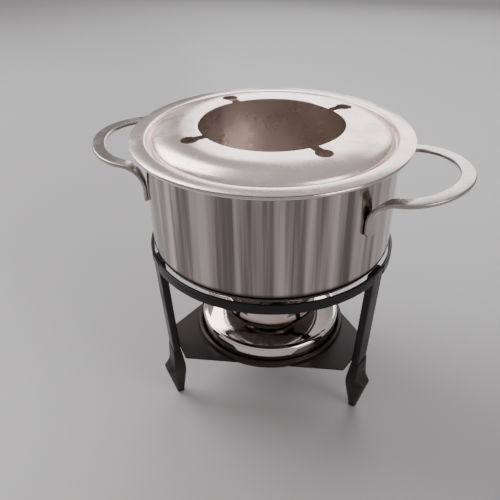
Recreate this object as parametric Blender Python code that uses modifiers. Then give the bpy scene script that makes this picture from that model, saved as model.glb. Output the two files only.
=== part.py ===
"""Fondue set: a pot with a fork guard, on a three-legged stand with a spirit burner.

The origin is on the table, under the pot's axis. +Z is up and the stand's open front, between its
left and right legs, faces -Y. All sizes are in metres.
"""
import math

import bmesh
import bpy
from mathutils import Matrix, Vector

MM = 0.001

# ---------------------------------------------------------------- driving dimensions
# Gaps
TOUCH_GAP = 0.3 * MM          # between pieces that touch
POT_SEAT_GAP = 0.4 * MM       # between the leg tops and the pot's rounded corner
GUARD_FIT_GAP = 0.5 * MM      # between the guard's gutter and the inside of the pot
BURNER_FIT_GAP = 1.1 * MM     # between the burner and the wall of the plate's recess
CAN_FIT_GAP = 0.5 * MM        # around the fuel can, in the housing and in the cover
WADDING_GAP = 0.5 * MM        # between the wadding or gauze and the can
REGULATOR_GAP = 0.3 * MM      # around the disc where it turns on the cover's collar

# Heights above the table
PLATE_TOP_Z = 55 * MM
RING_TOP_Z = 140.5 * MM

# Pot
POT_RADIUS = 90 * MM
POT_WALL_HEIGHT = 75.9 * MM   # the straight wall, from the rounded corner to the rim
POT_SEAT_DROP = 5.9 * MM      # from the top of the rounded corner down to the ring's top
POT_WALL = 1.0 * MM
POT_CORNER_RADIUS = 10 * MM
LIP_REACH = 8.4 * MM          # lip past the pot's wall
LIP_BEAD_RADIUS = 1.4 * MM
LIP_BEND_RADIUS = 1.6 * MM
POT_TURN_DEG = -12.35         # how far the pot is turned in the stand

# Handles
STRAP_WIDTH = 10 * MM
STRAP_THICKNESS = 3 * MM
STRAP_EDGE_RADIUS = 1.2 * MM
HANDLE_LENGTH = 49.4 * MM     # from the pot's wall to the outside of the loop
HANDLE_DROP = 18.3 * MM       # from the rim to the middle of the strap at the wall
HANDLE_RISE = 0.095           # upward slope of the loop
HANDLE_SPREAD = 44.7 * MM     # from the handle's middle line to the middle of each arm
TAB_LENGTH = 26 * MM          # from the middle of the strap to the tab's lower end
TAB_BEND_RADIUS = 16 * MM
LOOP_START_REACH = 8.5 * MM   # from the pot's wall to where the arms begin to curve
LOOP_POWER = 1.09             # 1 makes an ellipse, more makes the loop's shoulders flatter

# Fork guard
GUARD_SHEET = 0.9 * MM
GUARD_OVERHANG = 0.6 * MM     # guard past the pot's lip
GUARD_MOUTH_RADIUS = 51.3 * MM
GUARD_FLAT_RADIUS = 62 * MM   # outside of the flat top
GUARD_CROWN_HEIGHT = 5.8 * MM  # flat top above the flange
GUARD_GUTTER_DEPTH = 5.2 * MM  # gutter's floor below the flange
GUARD_GUTTER_WIDTH = 2.6 * MM
FORK_REST_COUNT = 4
FORK_REST_RADIUS = 6 * MM
FORK_REST_PLACE = 62.5 * MM   # from the axis to the middle of a fork rest
FORK_NECK_WIDTH = 6.5 * MM
FORK_REST_TURN_DEG = 36.15

# Stand
RING_HEIGHT = 7.3 * MM
RING_THICKNESS = 2.4 * MM
RING_POT_GAP = 0.6 * MM
RING_NOTCH_DEPTH = 1.6 * MM   # how far each leg is let into the ring's outer face
LEG_WIDTH = 15.6 * MM
LEG_THICKNESS = 5.7 * MM
LEG_SET_IN = 0.1 * MM         # outer face at the ring's top, in from the ring's face
LEG_INWARD = 3.9 * MM         # how far a leg leans in from the ring's top to the plate
LEG_BOTTOM_Z = 27 * MM
LEG_ANGLES_DEG = {"left": 210.0, "right": 330.0, "back": 90.0}
SHEET_STEEL = 1.5 * MM        # thickness of the burner plate
PLATE_EDGE_REACH = 1.5 * MM   # straight edges past the burner's radius
RECESS_DEPTH = 3 * MM
RECESS_RIM_WIDTH = 3.7 * MM
RECESS_RIM_RISE = 3 * MM      # the rounded rim around the recess stands up above the plate

# Feet
FOOT_WALL = 1.3 * MM
FOOT_LIP = 0.9 * MM           # wall at the foot's top edge
FOOT_TOP_GAP = 1.5 * MM       # between the feet and the burner plate
FOOT_KNEE_Z = 36 * MM
FOOT_HEEL_Z = 30.5 * MM
FOOT_HEEL_REACH = 6.2 * MM    # how far the heel stands out past the face at the knee
FOOT_TIP_DEPTH = 5 * MM
FOOT_TIP_WIDTH = 6 * MM
FOOT_TIP_EASE = 1.2 * MM
FOOT_HEEL_WIDTH = 9 * MM
FOOT_POCKET_GAP = 0.3 * MM

# Burner
BURNER_RADIUS = 57 * MM
BURNER_SKIRT_HEIGHT = 16 * MM
BURNER_SHOULDER_RADIUS = 3 * MM
BURNER_DOME_RISE = 7.8 * MM
BURNER_SHEET = 1.0 * MM
BURNER_BASE_THICKNESS = 1.0 * MM
CAN_RADIUS = 36.6 * MM
CAN_WALL = 0.8 * MM
CAN_STAND_OUT = 11.5 * MM     # can above the top of the housing
CAN_CORNER_RADIUS = 2.5 * MM
WADDING_DROP = 7.9 * MM       # from the can's rim down to the top of the wadding
GAUZE_THICKNESS = 0.6 * MM
GAUZE_RING_WIRE = 1.6 * MM
COVER_SHEET = 0.8 * MM
COVER_DOME_GAP = 1.6 * MM     # between the cover's skirt and the housing
COVER_CORNER_RADIUS = 1.5 * MM
FLAME_OPENING_RADIUS = 18.5 * MM
COLLAR_LIP_WIDTH = 2.2 * MM
REGULATOR_THICKNESS = 0.8 * MM
REGULATOR_RADIUS = 34 * MM
PORT_COUNT = 8
PORT_RADIUS = 3.2 * MM
PORT_PLACE = 27.5 * MM
LEVER_LENGTH = 19 * MM        # past the edge of the disc
LEVER_WIDTH = 6 * MM
LEVER_ANGLE_DEG = 62.0
KNOB_RADIUS = 4 * MM
KNOB_HEIGHT = 5 * MM

# Fineness of round shapes
LARGE_STEPS = 64
SMALL_STEPS = 48
CUT_OVERRUN = 2 * MM          # how far a cutter stands past what it cuts
MERGE_DISTANCE = 0.01 * MM

# ---------------------------------------------------------------- sizes that follow
POT_CORNER_TOP_Z = RING_TOP_Z + POT_SEAT_DROP
POT_RIM_Z = POT_CORNER_TOP_Z + POT_WALL_HEIGHT
POT_BOTTOM_Z = POT_CORNER_TOP_Z - POT_CORNER_RADIUS
POT_INSIDE_RADIUS = POT_RADIUS - POT_WALL
LIP_RADIUS = POT_RADIUS + LIP_REACH
HANDLE_REACH = POT_RADIUS + HANDLE_LENGTH
HANDLE_HEIGHT_Z = POT_RIM_Z - HANDLE_DROP
TAB_BOTTOM_Z = HANDLE_HEIGHT_Z - TAB_LENGTH
LOOP_START = POT_RADIUS + LOOP_START_REACH
GUARD_RADIUS = LIP_RADIUS + GUARD_OVERHANG
GUARD_FLANGE_TOP_Z = POT_RIM_Z + TOUCH_GAP + GUARD_SHEET
GUTTER_OUTER_RADIUS = POT_INSIDE_RADIUS - GUARD_FIT_GAP
GUTTER_INNER_RADIUS = GUTTER_OUTER_RADIUS - GUARD_SHEET - GUARD_GUTTER_WIDTH
RING_INNER_RADIUS = POT_RADIUS + RING_POT_GAP
RING_OUTER_RADIUS = RING_INNER_RADIUS + RING_THICKNESS
RING_BOTTOM_Z = RING_TOP_Z - RING_HEIGHT
RING_NOTCH_FLOOR = RING_OUTER_RADIUS - RING_NOTCH_DEPTH
LEG_TOP_RADIUS = RING_OUTER_RADIUS - LEG_SET_IN
LEG_PLATE_RADIUS = LEG_TOP_RADIUS - LEG_INWARD
PLATE_APOTHEM = BURNER_RADIUS + PLATE_EDGE_REACH
FOOT_HEIGHT = PLATE_TOP_Z - SHEET_STEEL - FOOT_TOP_GAP
LEG_LEAN = (LEG_TOP_RADIUS - LEG_PLATE_RADIUS) / (RING_TOP_Z - PLATE_TOP_Z)
RECESS_FLOOR_Z = PLATE_TOP_Z - RECESS_DEPTH
RECESS_RADIUS = BURNER_RADIUS + BURNER_FIT_GAP
BURNER_BOTTOM_Z = RECESS_FLOOR_Z + TOUCH_GAP
BURNER_SHOULDER_Z = BURNER_BOTTOM_Z + BURNER_SKIRT_HEIGHT
DOME_TOP_Z = BURNER_SHOULDER_Z + BURNER_DOME_RISE
CAN_BOTTOM_Z = BURNER_BOTTOM_Z + BURNER_BASE_THICKNESS + TOUCH_GAP
CAN_TOP_Z = DOME_TOP_Z + CAN_STAND_OUT
CAN_INSIDE_RADIUS = CAN_RADIUS - CAN_WALL
WADDING_BOTTOM_Z = CAN_BOTTOM_Z + CAN_WALL + TOUCH_GAP
WADDING_TOP_Z = CAN_TOP_Z - WADDING_DROP
GAUZE_TOP_Z = WADDING_TOP_Z + TOUCH_GAP + GAUZE_THICKNESS
COVER_TOP_Z = CAN_TOP_Z + TOUCH_GAP + COVER_SHEET
COVER_SKIRT_Z = DOME_TOP_Z + COVER_DOME_GAP
COVER_RADIUS = CAN_RADIUS + CAN_FIT_GAP + COVER_SHEET
REGULATOR_BOTTOM_Z = COVER_TOP_Z + TOUCH_GAP
REGULATOR_TOP_Z = REGULATOR_BOTTOM_Z + REGULATOR_THICKNESS
COLLAR_LIP_Z = REGULATOR_TOP_Z + TOUCH_GAP


def leg_outer_radius(height):
    """Distance from the axis to a leg's outer face at a height."""
    return LEG_TOP_RADIUS - LEG_LEAN * (RING_TOP_Z - height)


# ---------------------------------------------------------------- helpers
def clear_scene():
    for item in list(bpy.data.objects):
        bpy.data.objects.remove(item, do_unlink=True)


def new_collection(name):
    collection = bpy.data.collections.new(name)
    bpy.context.scene.collection.children.link(collection)
    return collection


def new_material(name, colour, metallic, roughness):
    material = bpy.data.materials.new(name)
    material.use_nodes = True
    shader = material.node_tree.nodes["Principled BSDF"]
    shader.inputs["Base Color"].default_value = (*colour, 1.0)
    shader.inputs["Metallic"].default_value = metallic
    shader.inputs["Roughness"].default_value = roughness
    return material


def add_part(name, data, material):
    """Put a piece of the model into its collection."""
    part = bpy.data.objects.new(name, data)
    part.data.materials.append(material)
    PARTS.objects.link(part)
    return part


def add_cutter(name, data):
    """Put a shape that only cuts or joins into the cutters' collection."""
    cutter = bpy.data.objects.new(name, data)
    cutter.hide_render = True
    cutter.display_type = "WIRE"
    CUTTERS.objects.link(cutter)
    return cutter


def arc(centre_r, centre_z, radius, start_deg, end_deg, steps):
    """Points (r, z) along an arc. An angle is measured from +r towards +z."""
    points = []
    for index in range(steps + 1):
        angle = math.radians(start_deg + (end_deg - start_deg) * index / steps)
        points.append((centre_r + radius * math.cos(angle), centre_z + radius * math.sin(angle)))
    return points


def profile_mesh(name, points, closed):
    """A chain of edges in the XZ plane, to be turned about Z."""
    count = len(points)
    edges = [(index, index + 1) for index in range(count - 1)]
    if closed:
        edges.append((count - 1, 0))
    mesh = bpy.data.meshes.new(name)
    mesh.from_pydata([(r, 0.0, z) for r, z in points], edges, [])
    return mesh


def turn(item, steps):
    """Turn a profile about Z. The profile runs down the outside of the shape."""
    screw = item.modifiers.new("turn", "SCREW")
    screw.axis = "Z"
    screw.angle = 2 * math.pi
    screw.steps = steps
    screw.render_steps = steps
    screw.use_merge_vertices = True
    screw.merge_threshold = MERGE_DISTANCE
    screw.use_smooth_shade = True
    return item


def turned_part(name, points, material, steps=LARGE_STEPS, closed=False, sheet=None):
    """A turned piece. With a sheet thickness, the profile is its upper or outer side."""
    part = turn(add_part(name, profile_mesh(name, points, closed), material), steps)
    if sheet:
        solidify = part.modifiers.new("sheet", "SOLIDIFY")
        solidify.thickness = sheet
        solidify.offset = -1.0
        solidify.use_even_offset = True
        solidify.use_rim = True
    return part


def cylinder_mesh(name, radius, height, steps=SMALL_STEPS):
    mesh = bpy.data.meshes.new(name)
    shape = bmesh.new()
    bmesh.ops.create_cone(shape, cap_ends=True, segments=steps, radius1=radius, radius2=radius,
                          depth=height)
    shape.to_mesh(mesh)
    shape.free()
    return mesh


def box_mesh(name, size):
    mesh = bpy.data.meshes.new(name)
    shape = bmesh.new()
    bmesh.ops.create_cube(shape, size=1.0, matrix=Matrix.Diagonal((*size, 1.0)))
    shape.to_mesh(mesh)
    shape.free()
    return mesh


def loft_mesh(name, rings):
    """One closed body through rings of points, which all have the same count."""
    count = len(rings[0])
    mesh = bpy.data.meshes.new(name)
    shape = bmesh.new()
    layers = [[shape.verts.new(point) for point in ring] for ring in rings]
    shape.faces.new(layers[0])
    shape.faces.new(layers[-1])
    for lower, upper in zip(layers, layers[1:]):
        for index in range(count):
            following = (index + 1) % count
            shape.faces.new((lower[index], lower[following], upper[following], upper[index]))
    bmesh.ops.recalc_face_normals(shape, faces=shape.faces)
    shape.to_mesh(mesh)
    shape.free()
    return mesh


def outline_mesh(name, points, half_thickness):
    """A flat outline made as a filled curve, then a mesh whose caps are welded on."""
    curve = bpy.data.curves.new(name, "CURVE")
    curve.dimensions = "2D"
    curve.fill_mode = "BOTH"
    curve.extrude = half_thickness
    spline = curve.splines.new("POLY")
    spline.points.add(len(points) - 1)
    for spot, (x, y) in zip(spline.points, points):
        spot.co = (x, y, 0.0, 1.0)
    spline.use_cyclic_u = True
    holder = bpy.data.objects.new(name, curve)
    PARTS.objects.link(holder)
    bpy.context.view_layer.update()
    evaluated = holder.evaluated_get(bpy.context.evaluated_depsgraph_get())
    mesh = bpy.data.meshes.new_from_object(evaluated)
    bpy.data.objects.remove(holder, do_unlink=True)
    shape = bmesh.new()
    shape.from_mesh(mesh)
    bmesh.ops.remove_doubles(shape, verts=shape.verts, dist=MERGE_DISTANCE)
    bmesh.ops.recalc_face_normals(shape, faces=shape.faces)
    shape.to_mesh(mesh)
    shape.free()
    mesh.materials.clear()
    mesh.name = name
    return mesh


def combine(part, other, operation):
    """Cut the other shape out of a part, or join it on."""
    boolean = part.modifiers.new(other.name, "BOOLEAN")
    boolean.operation = operation
    boolean.solver = "EXACT"
    boolean.object = other


def round_edges(part, width, segments=2):
    bevel = part.modifiers.new("edges", "BEVEL")
    bevel.width = width
    bevel.segments = segments
    bevel.limit_method = "ANGLE"
    bevel.angle_limit = math.radians(40)


def turn_about_z(part, degrees):
    part.rotation_euler = (0.0, 0.0, math.radians(degrees))


# ---------------------------------------------------------------- the pot and what is on it
def make_pot(material):
    """Drawn pot: floor, rounded corner, straight wall and a lip with a rolled bead."""
    corner_r = POT_RADIUS - POT_CORNER_RADIUS
    inner_corner_radius = POT_CORNER_RADIUS - POT_WALL
    bead_r = LIP_RADIUS - LIP_BEAD_RADIUS
    bead_z = POT_RIM_Z - LIP_BEAD_RADIUS
    flange_bottom_z = POT_RIM_Z - POT_WALL
    outer_bend = LIP_BEND_RADIUS
    inner_bend = LIP_BEND_RADIUS + POT_WALL
    bend_r = POT_RADIUS + outer_bend
    bend_z = flange_bottom_z - outer_bend
    bead_end_deg = -150.0
    points = [(0.0, POT_BOTTOM_Z + POT_WALL)]
    points += arc(corner_r, POT_CORNER_TOP_Z, inner_corner_radius, -90, 0, 5)
    points += arc(bend_r, bend_z, inner_bend, 180, 90, 3)
    points += arc(bead_r, bead_z, LIP_BEAD_RADIUS, 90, bead_end_deg, 6)
    points += arc(bend_r, bend_z, outer_bend, 90, 180, 3)
    points += arc(corner_r, POT_CORNER_TOP_Z, POT_CORNER_RADIUS, 0, -90, 6)
    points.append((0.0, POT_BOTTOM_Z))
    pot = turned_part("pot_body", points, material)
    turn_about_z(pot, POT_TURN_DEG)
    return pot


def strap_section(centre, across, normal):
    """Rounded rectangle of the strap, at a place and with its two directions."""
    half_width = STRAP_WIDTH / 2 - STRAP_EDGE_RADIUS
    half_depth = STRAP_THICKNESS / 2 - STRAP_EDGE_RADIUS
    ring = []
    for side_x, side_y, start in ((1, 1, 0), (-1, 1, 90), (-1, -1, 180), (1, -1, 270)):
        for step in range(3):
            angle = math.radians(start + 45 * step)
            x = side_x * half_width + STRAP_EDGE_RADIUS * math.cos(angle)
            y = side_y * half_depth + STRAP_EDGE_RADIUS * math.sin(angle)
            ring.append(centre + across * x + normal * y)
    return ring


def strap_path():
    """Half of the strap's middle line, from a tab's lower end to the loop's nose.

    Each station is a centre and the direction across the strap. The handle points along +X.
    """
    tab_r = POT_RADIUS + TOUCH_GAP + STRAP_THICKNESS / 2
    tab_angle = math.asin(HANDLE_SPREAD / tab_r)
    tangent = Vector((-math.sin(tab_angle), math.cos(tab_angle), 0.0))
    tab_x = tab_r * math.cos(tab_angle)
    bend_bottom_z = HANDLE_HEIGHT_Z - TAB_BEND_RADIUS
    stations = []
    for index in range(2):
        height = TAB_BOTTOM_Z + (bend_bottom_z - TAB_BOTTOM_Z) * index
        stations.append((Vector((tab_x, HANDLE_SPREAD, height)), tangent))
    # The strap bends outwards and untwists from the wall's direction to the handle's.
    bend_steps = 5
    for index in range(1, bend_steps + 1):
        share = index / bend_steps
        angle = math.radians(90.0) * share
        twist = tab_angle * (1 - share ** 2)
        x = tab_x + TAB_BEND_RADIUS * (1 - math.cos(angle))
        z = bend_bottom_z + TAB_BEND_RADIUS * math.sin(angle)
        across = Vector((-math.sin(twist), math.cos(twist), 0.0))
        stations.append((Vector((x, HANDLE_SPREAD, z)), across))
    # The loop is a rounded oval, whose ends run straight back to the tabs.
    rise_x = tab_x + TAB_BEND_RADIUS
    nose_length = HANDLE_REACH - STRAP_WIDTH / 2 - LOOP_START
    loop_steps = 12
    for index in range(loop_steps + 1):
        angle = math.radians(90.0 * (1 - index / loop_steps))
        x = LOOP_START + nose_length * math.cos(angle) ** LOOP_POWER
        y = HANDLE_SPREAD * math.sin(angle) ** LOOP_POWER
        z = HANDLE_HEIGHT_Z + HANDLE_RISE * (x - rise_x)
        across = Vector((HANDLE_SPREAD * math.cos(angle), nose_length * math.sin(angle), 0.0))
        stations.append((Vector((x, y, z)), across.normalized()))
    return stations


def make_handle(name, turn_deg, material):
    """Flat strap bent into a loop, with both ends turned down onto the pot's wall."""
    half = strap_path()
    mirrored = [(Vector((p.x, -p.y, p.z)), Vector((a.x, -a.y, 0.0))) for p, a in half[:-1]]
    stations = half + mirrored[::-1]
    rings = []
    for index, (place, across) in enumerate(stations):
        before = stations[max(index - 1, 0)][0]
        after = stations[min(index + 1, len(stations) - 1)][0]
        along = (after - before).normalized()
        normal = along.cross(across).normalized()
        rings.append(strap_section(place, across, normal))
    handle = add_part(name, loft_mesh(name, rings), material)
    turn_about_z(handle, POT_TURN_DEG + turn_deg)
    return handle


def guard_profile():
    """Upper side of the fork guard, from its mouth to the edge of its flange."""
    crown_z = GUARD_FLANGE_TOP_Z + GUARD_CROWN_HEIGHT
    gutter_z = GUARD_FLANGE_TOP_Z - GUARD_GUTTER_DEPTH
    corner = GUARD_GUTTER_WIDTH / 2
    wall_r = GUTTER_INNER_RADIUS
    points = [(GUARD_MOUTH_RADIUS, crown_z)]
    # The crown falls in a smooth curve from level at the flat top to upright at the gutter.
    curve_steps = 7
    fall = crown_z - gutter_z - corner
    for index in range(curve_steps + 1):
        angle = math.radians(90.0 * index / curve_steps)
        r = GUARD_FLAT_RADIUS + (wall_r - GUARD_FLAT_RADIUS) * math.sin(angle)
        z = crown_z - fall * (1 - math.cos(angle))
        points.append((r, z))
    points += arc(wall_r + corner, gutter_z + corner, corner, 225, 315, 2)
    bend = GUARD_SHEET + 0.6 * MM
    rise_r = wall_r + GUARD_GUTTER_WIDTH
    points += arc(rise_r + bend, GUARD_FLANGE_TOP_Z - bend, bend, 180, 90, 3)
    points.append((GUARD_RADIUS, GUARD_FLANGE_TOP_Z))
    return points


def make_guard(material):
    """Pressed guard with a wide mouth and keyhole rests for the forks."""
    guard = turned_part("fork_guard", guard_profile(), material, sheet=GUARD_SHEET)
    crown_z = GUARD_FLANGE_TOP_Z + GUARD_CROWN_HEIGHT
    depth = 12 * MM
    for index in range(FORK_REST_COUNT):
        turn_deg = FORK_REST_TURN_DEG + 360.0 * index / FORK_REST_COUNT
        turn_matrix = Matrix.Rotation(math.radians(turn_deg), 4, "Z")
        hole = add_cutter(f"fork_rest_hole_{index}", cylinder_mesh("hole", FORK_REST_RADIUS, depth, 20))
        hole.location = turn_matrix @ Vector((FORK_REST_PLACE, 0.0, crown_z))
        combine(guard, hole, "DIFFERENCE")
        neck_length = FORK_REST_PLACE - GUARD_MOUTH_RADIUS + CUT_OVERRUN
        neck = add_cutter(f"fork_rest_neck_{index}",
                          box_mesh("neck", (neck_length, FORK_NECK_WIDTH, depth)))
        neck_r = FORK_REST_PLACE - neck_length / 2
        neck.location = turn_matrix @ Vector((neck_r, 0.0, crown_z))
        turn_about_z(neck, turn_deg)
        combine(guard, neck, "DIFFERENCE")
    return guard


# ---------------------------------------------------------------- the stand
def make_ring(material):
    """Flat band around the bottom of the pot, with a notch for each leg."""
    inner = RING_INNER_RADIUS
    outer = RING_OUTER_RADIUS
    ease = 0.4 * MM
    points = [(inner, RING_TOP_Z - ease), (inner + ease, RING_TOP_Z),
              (outer - ease, RING_TOP_Z), (outer, RING_TOP_Z - ease),
              (outer, RING_BOTTOM_Z + ease), (outer - ease, RING_BOTTOM_Z),
              (inner + ease, RING_BOTTOM_Z), (inner, RING_BOTTOM_Z + ease)]
    ring = turned_part("stand_ring", points, material, closed=True)
    depth = RING_NOTCH_DEPTH + CUT_OVERRUN
    size = (depth, LEG_WIDTH + 2 * TOUCH_GAP, RING_HEIGHT + 2 * CUT_OVERRUN)
    for side, angle_deg in LEG_ANGLES_DEG.items():
        notch = add_cutter(f"ring_notch_{side}", box_mesh("notch", size))
        middle = Vector((RING_NOTCH_FLOOR + depth / 2, 0.0, RING_TOP_Z - RING_HEIGHT / 2))
        notch.location = Matrix.Rotation(math.radians(angle_deg), 4, "Z") @ middle
        turn_about_z(notch, angle_deg)
        combine(ring, notch, "DIFFERENCE")
    return ring


def make_leg(side, material):
    """Flat bar with a slot for the ring; the pot's corner rests on what stands inside the slot."""
    slot_floor_z = RING_BOTTOM_Z - TOUCH_GAP
    facet_radius = RING_INNER_RADIUS * math.cos(math.pi / LARGE_STEPS)
    slot_inner = math.sqrt(facet_radius ** 2 - (LEG_WIDTH / 2) ** 2) - TOUCH_GAP
    slot_outer = RING_NOTCH_FLOOR + TOUCH_GAP
    bottom_outer = leg_outer_radius(LEG_BOTTOM_Z)
    seat_radius = POT_CORNER_RADIUS + POT_SEAT_GAP
    corner_middle_r = POT_RADIUS - POT_CORNER_RADIUS
    seat_drop = POT_CORNER_TOP_Z - RING_TOP_Z
    seat_outer = corner_middle_r + math.sqrt(seat_radius ** 2 - seat_drop ** 2)
    seat_inner = LEG_TOP_RADIUS - LEG_THICKNESS
    seat_inner_reach = seat_inner - corner_middle_r
    seat_inner_z = POT_CORNER_TOP_Z - math.sqrt(seat_radius ** 2 - seat_inner_reach ** 2)
    outline = [(bottom_outer - LEG_THICKNESS, LEG_BOTTOM_Z),
               (bottom_outer, LEG_BOTTOM_Z),
               (LEG_TOP_RADIUS, RING_TOP_Z),
               (slot_outer, RING_TOP_Z),
               (slot_outer, slot_floor_z),
               (slot_inner, slot_floor_z),
               (slot_inner, RING_TOP_Z),
               (seat_outer, RING_TOP_Z),
               (seat_inner, seat_inner_z)]
    leg = add_part(f"leg_{side}", outline_mesh(f"leg_{side}", outline, LEG_WIDTH / 2), material)
    upright = Matrix.Rotation(math.radians(90), 4, "X")
    leg.data.transform(upright)
    turn_about_z(leg, LEG_ANGLES_DEG[side])
    return leg


def foot_section(height, inner, face, heel, width, heel_width):
    """Six corners of the foot at a height: its inner side, its faces and its narrow heel."""
    half = width / 2
    heel_half = heel_width / 2
    return [(inner, -half, height), (face, -half, height), (heel, -heel_half, height),
            (heel, heel_half, height), (face, half, height), (inner, half, height)]


def make_foot(side, material):
    """Moulded foot: a sleeve on the leg's end, a heel that stands out and a narrow tip."""
    face = leg_outer_radius(FOOT_KNEE_Z) + FOOT_POCKET_GAP + FOOT_WALL
    inner = leg_outer_radius(LEG_BOTTOM_Z) - LEG_THICKNESS - FOOT_POCKET_GAP - FOOT_WALL
    width = LEG_WIDTH + 2 * (FOOT_POCKET_GAP + FOOT_WALL)
    heel = face + FOOT_HEEL_REACH
    ledge = face + FOOT_WALL / 2
    tip_inner = (inner + face - FOOT_TIP_DEPTH) / 2
    tip_face = tip_inner + FOOT_TIP_DEPTH
    tip_heel = tip_face + FOOT_TIP_EASE
    ease = FOOT_TIP_EASE
    top_face = leg_outer_radius(FOOT_HEIGHT) + FOOT_POCKET_GAP + FOOT_LIP
    top_inner = leg_outer_radius(FOOT_HEIGHT) - LEG_THICKNESS - FOOT_POCKET_GAP - FOOT_LIP
    top_width = LEG_WIDTH + 2 * (FOOT_POCKET_GAP + FOOT_LIP)
    rings = [
        foot_section(0.0, tip_inner + ease, tip_face - ease, tip_heel - ease,
                     FOOT_TIP_WIDTH - 2 * ease, FOOT_TIP_WIDTH / 2),
        foot_section(ease, tip_inner, tip_face, tip_heel, FOOT_TIP_WIDTH, FOOT_TIP_WIDTH / 2),
        foot_section(FOOT_HEEL_Z, inner, face, heel, width, FOOT_HEEL_WIDTH),
        foot_section(FOOT_KNEE_Z, inner, face, ledge, width, FOOT_HEEL_WIDTH),
        foot_section(FOOT_HEIGHT, top_inner, top_face, top_face + FOOT_LIP / 3, top_width,
                     FOOT_HEEL_WIDTH)]
    foot = add_part(f"foot_{side}", loft_mesh(f"foot_{side}", rings), material)
    turn_about_z(foot, LEG_ANGLES_DEG[side])
    pocket_bottom = LEG_BOTTOM_Z - FOOT_POCKET_GAP
    half = LEG_WIDTH / 2 + FOOT_POCKET_GAP
    pocket_rings = []
    for height in (pocket_bottom, FOOT_HEIGHT + CUT_OVERRUN):
        outer = leg_outer_radius(height) + FOOT_POCKET_GAP
        back = outer - LEG_THICKNESS - 2 * FOOT_POCKET_GAP
        pocket_rings.append([(back, -half, height), (outer, -half, height),
                             (outer, half, height), (back, half, height)])
    pocket = add_cutter(f"foot_pocket_{side}", loft_mesh("pocket", pocket_rings))
    turn_about_z(pocket, LEG_ANGLES_DEG[side])
    combine(foot, pocket, "DIFFERENCE")
    round_edges(foot, 0.5 * MM, 1)
    return foot


def plate_outline():
    """Triangle with its corners cut square where it meets the legs."""
    cut_radius = leg_outer_radius(PLATE_TOP_Z - SHEET_STEEL) - LEG_THICKNESS - TOUCH_GAP
    corner_radius = 2 * PLATE_APOTHEM
    half_cut = (corner_radius - cut_radius) * math.tan(math.radians(30))
    points = []
    for angle_deg in sorted(LEG_ANGLES_DEG.values()):
        angle = math.radians(angle_deg)
        outward = Vector((math.cos(angle), math.sin(angle)))
        across = Vector((-outward.y, outward.x))
        for side in (-1, 1):
            spot = outward * cut_radius + across * half_cut * side
            points.append((spot.x, spot.y))
    return points


def make_plate(material):
    """Triangular plate with a pressed round recess for the burner."""
    mesh = outline_mesh("burner_plate", plate_outline(), SHEET_STEEL / 2)
    plate = add_part("burner_plate", mesh, material)
    plate.location.z = PLATE_TOP_Z - SHEET_STEEL / 2
    dish_outer = RECESS_RADIUS + SHEET_STEEL
    opening = add_cutter("recess_opening",
                         cylinder_mesh("recess_opening", RECESS_RADIUS + SHEET_STEEL / 2,
                                       SHEET_STEEL + 2 * CUT_OVERRUN, LARGE_STEPS))
    opening.location.z = PLATE_TOP_Z
    rim_outer = RECESS_RADIUS + RECESS_RIM_WIDTH
    flange_bottom_z = PLATE_TOP_Z - SHEET_STEEL
    floor_bottom_z = RECESS_FLOOR_Z - SHEET_STEEL
    rim_bead = RECESS_RIM_WIDTH / 2
    bead_z = PLATE_TOP_Z + RECESS_RIM_RISE - rim_bead
    points = [(0.0, RECESS_FLOOR_Z), (RECESS_RADIUS, RECESS_FLOOR_Z)]
    points += arc(RECESS_RADIUS + rim_bead, bead_z, rim_bead, 180, 0, 6)
    points += [(rim_outer, flange_bottom_z), (dish_outer, flange_bottom_z),
               (dish_outer, floor_bottom_z), (0.0, floor_bottom_z)]
    dish = turn(add_cutter("recess_dish", profile_mesh("recess_dish", points, False)), LARGE_STEPS)
    combine(plate, opening, "DIFFERENCE")
    combine(plate, dish, "UNION")
    return plate


# ---------------------------------------------------------------- the burner
def make_housing(material):
    """Bright housing: upright skirt, round shoulder and a dome around the fuel can."""
    opening = CAN_RADIUS + CAN_FIT_GAP
    shoulder_r = BURNER_RADIUS - BURNER_SHOULDER_RADIUS
    shoulder_z = BURNER_SHOULDER_Z - BURNER_SHOULDER_RADIUS
    points = []
    dome_steps = 4
    for index in range(dome_steps + 1):
        t = index / dome_steps
        r = opening + (shoulder_r - opening) * t
        points.append((r, BURNER_SHOULDER_Z + BURNER_DOME_RISE * (1 - t ** 1.6)))
    points += arc(shoulder_r, shoulder_z, BURNER_SHOULDER_RADIUS, 60, 0, 3)
    points.append((BURNER_RADIUS, BURNER_BOTTOM_Z))
    return turned_part("burner_housing", points, material, sheet=BURNER_SHEET)


def disc_points(radius, bottom_z, top_z):
    return [(0.0, top_z), (radius, top_z), (radius, bottom_z), (0.0, bottom_z)]


def make_burner_base(material):
    """Disc that closes the housing underneath."""
    radius = BURNER_RADIUS - BURNER_SHEET - TOUCH_GAP
    top_z = BURNER_BOTTOM_Z + BURNER_BASE_THICKNESS
    return turned_part("burner_base", disc_points(radius, BURNER_BOTTOM_Z, top_z), material)


def make_can(material):
    """Fuel can: a cup that stands on the base disc. The profile is its inner side."""
    floor_z = CAN_BOTTOM_Z + CAN_WALL
    corner = CAN_CORNER_RADIUS - CAN_WALL
    points = [(0.0, floor_z)]
    points += arc(CAN_INSIDE_RADIUS - corner, floor_z + corner, corner, -90, 0, 3)
    points.append((CAN_INSIDE_RADIUS, CAN_TOP_Z))
    return turned_part("fuel_can", points, material, SMALL_STEPS, sheet=CAN_WALL)


def make_wadding(material):
    """Absorbent pad with soft edges, just inside the can."""
    radius = CAN_INSIDE_RADIUS - WADDING_GAP
    soft = 2.5 * MM
    points = [(0.0, WADDING_TOP_Z), (radius - soft, WADDING_TOP_Z), (radius, WADDING_TOP_Z - soft),
              (radius, WADDING_BOTTOM_Z + soft), (radius - soft, WADDING_BOTTOM_Z),
              (0.0, WADDING_BOTTOM_Z)]
    return turned_part("wadding", points, material, SMALL_STEPS)


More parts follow.
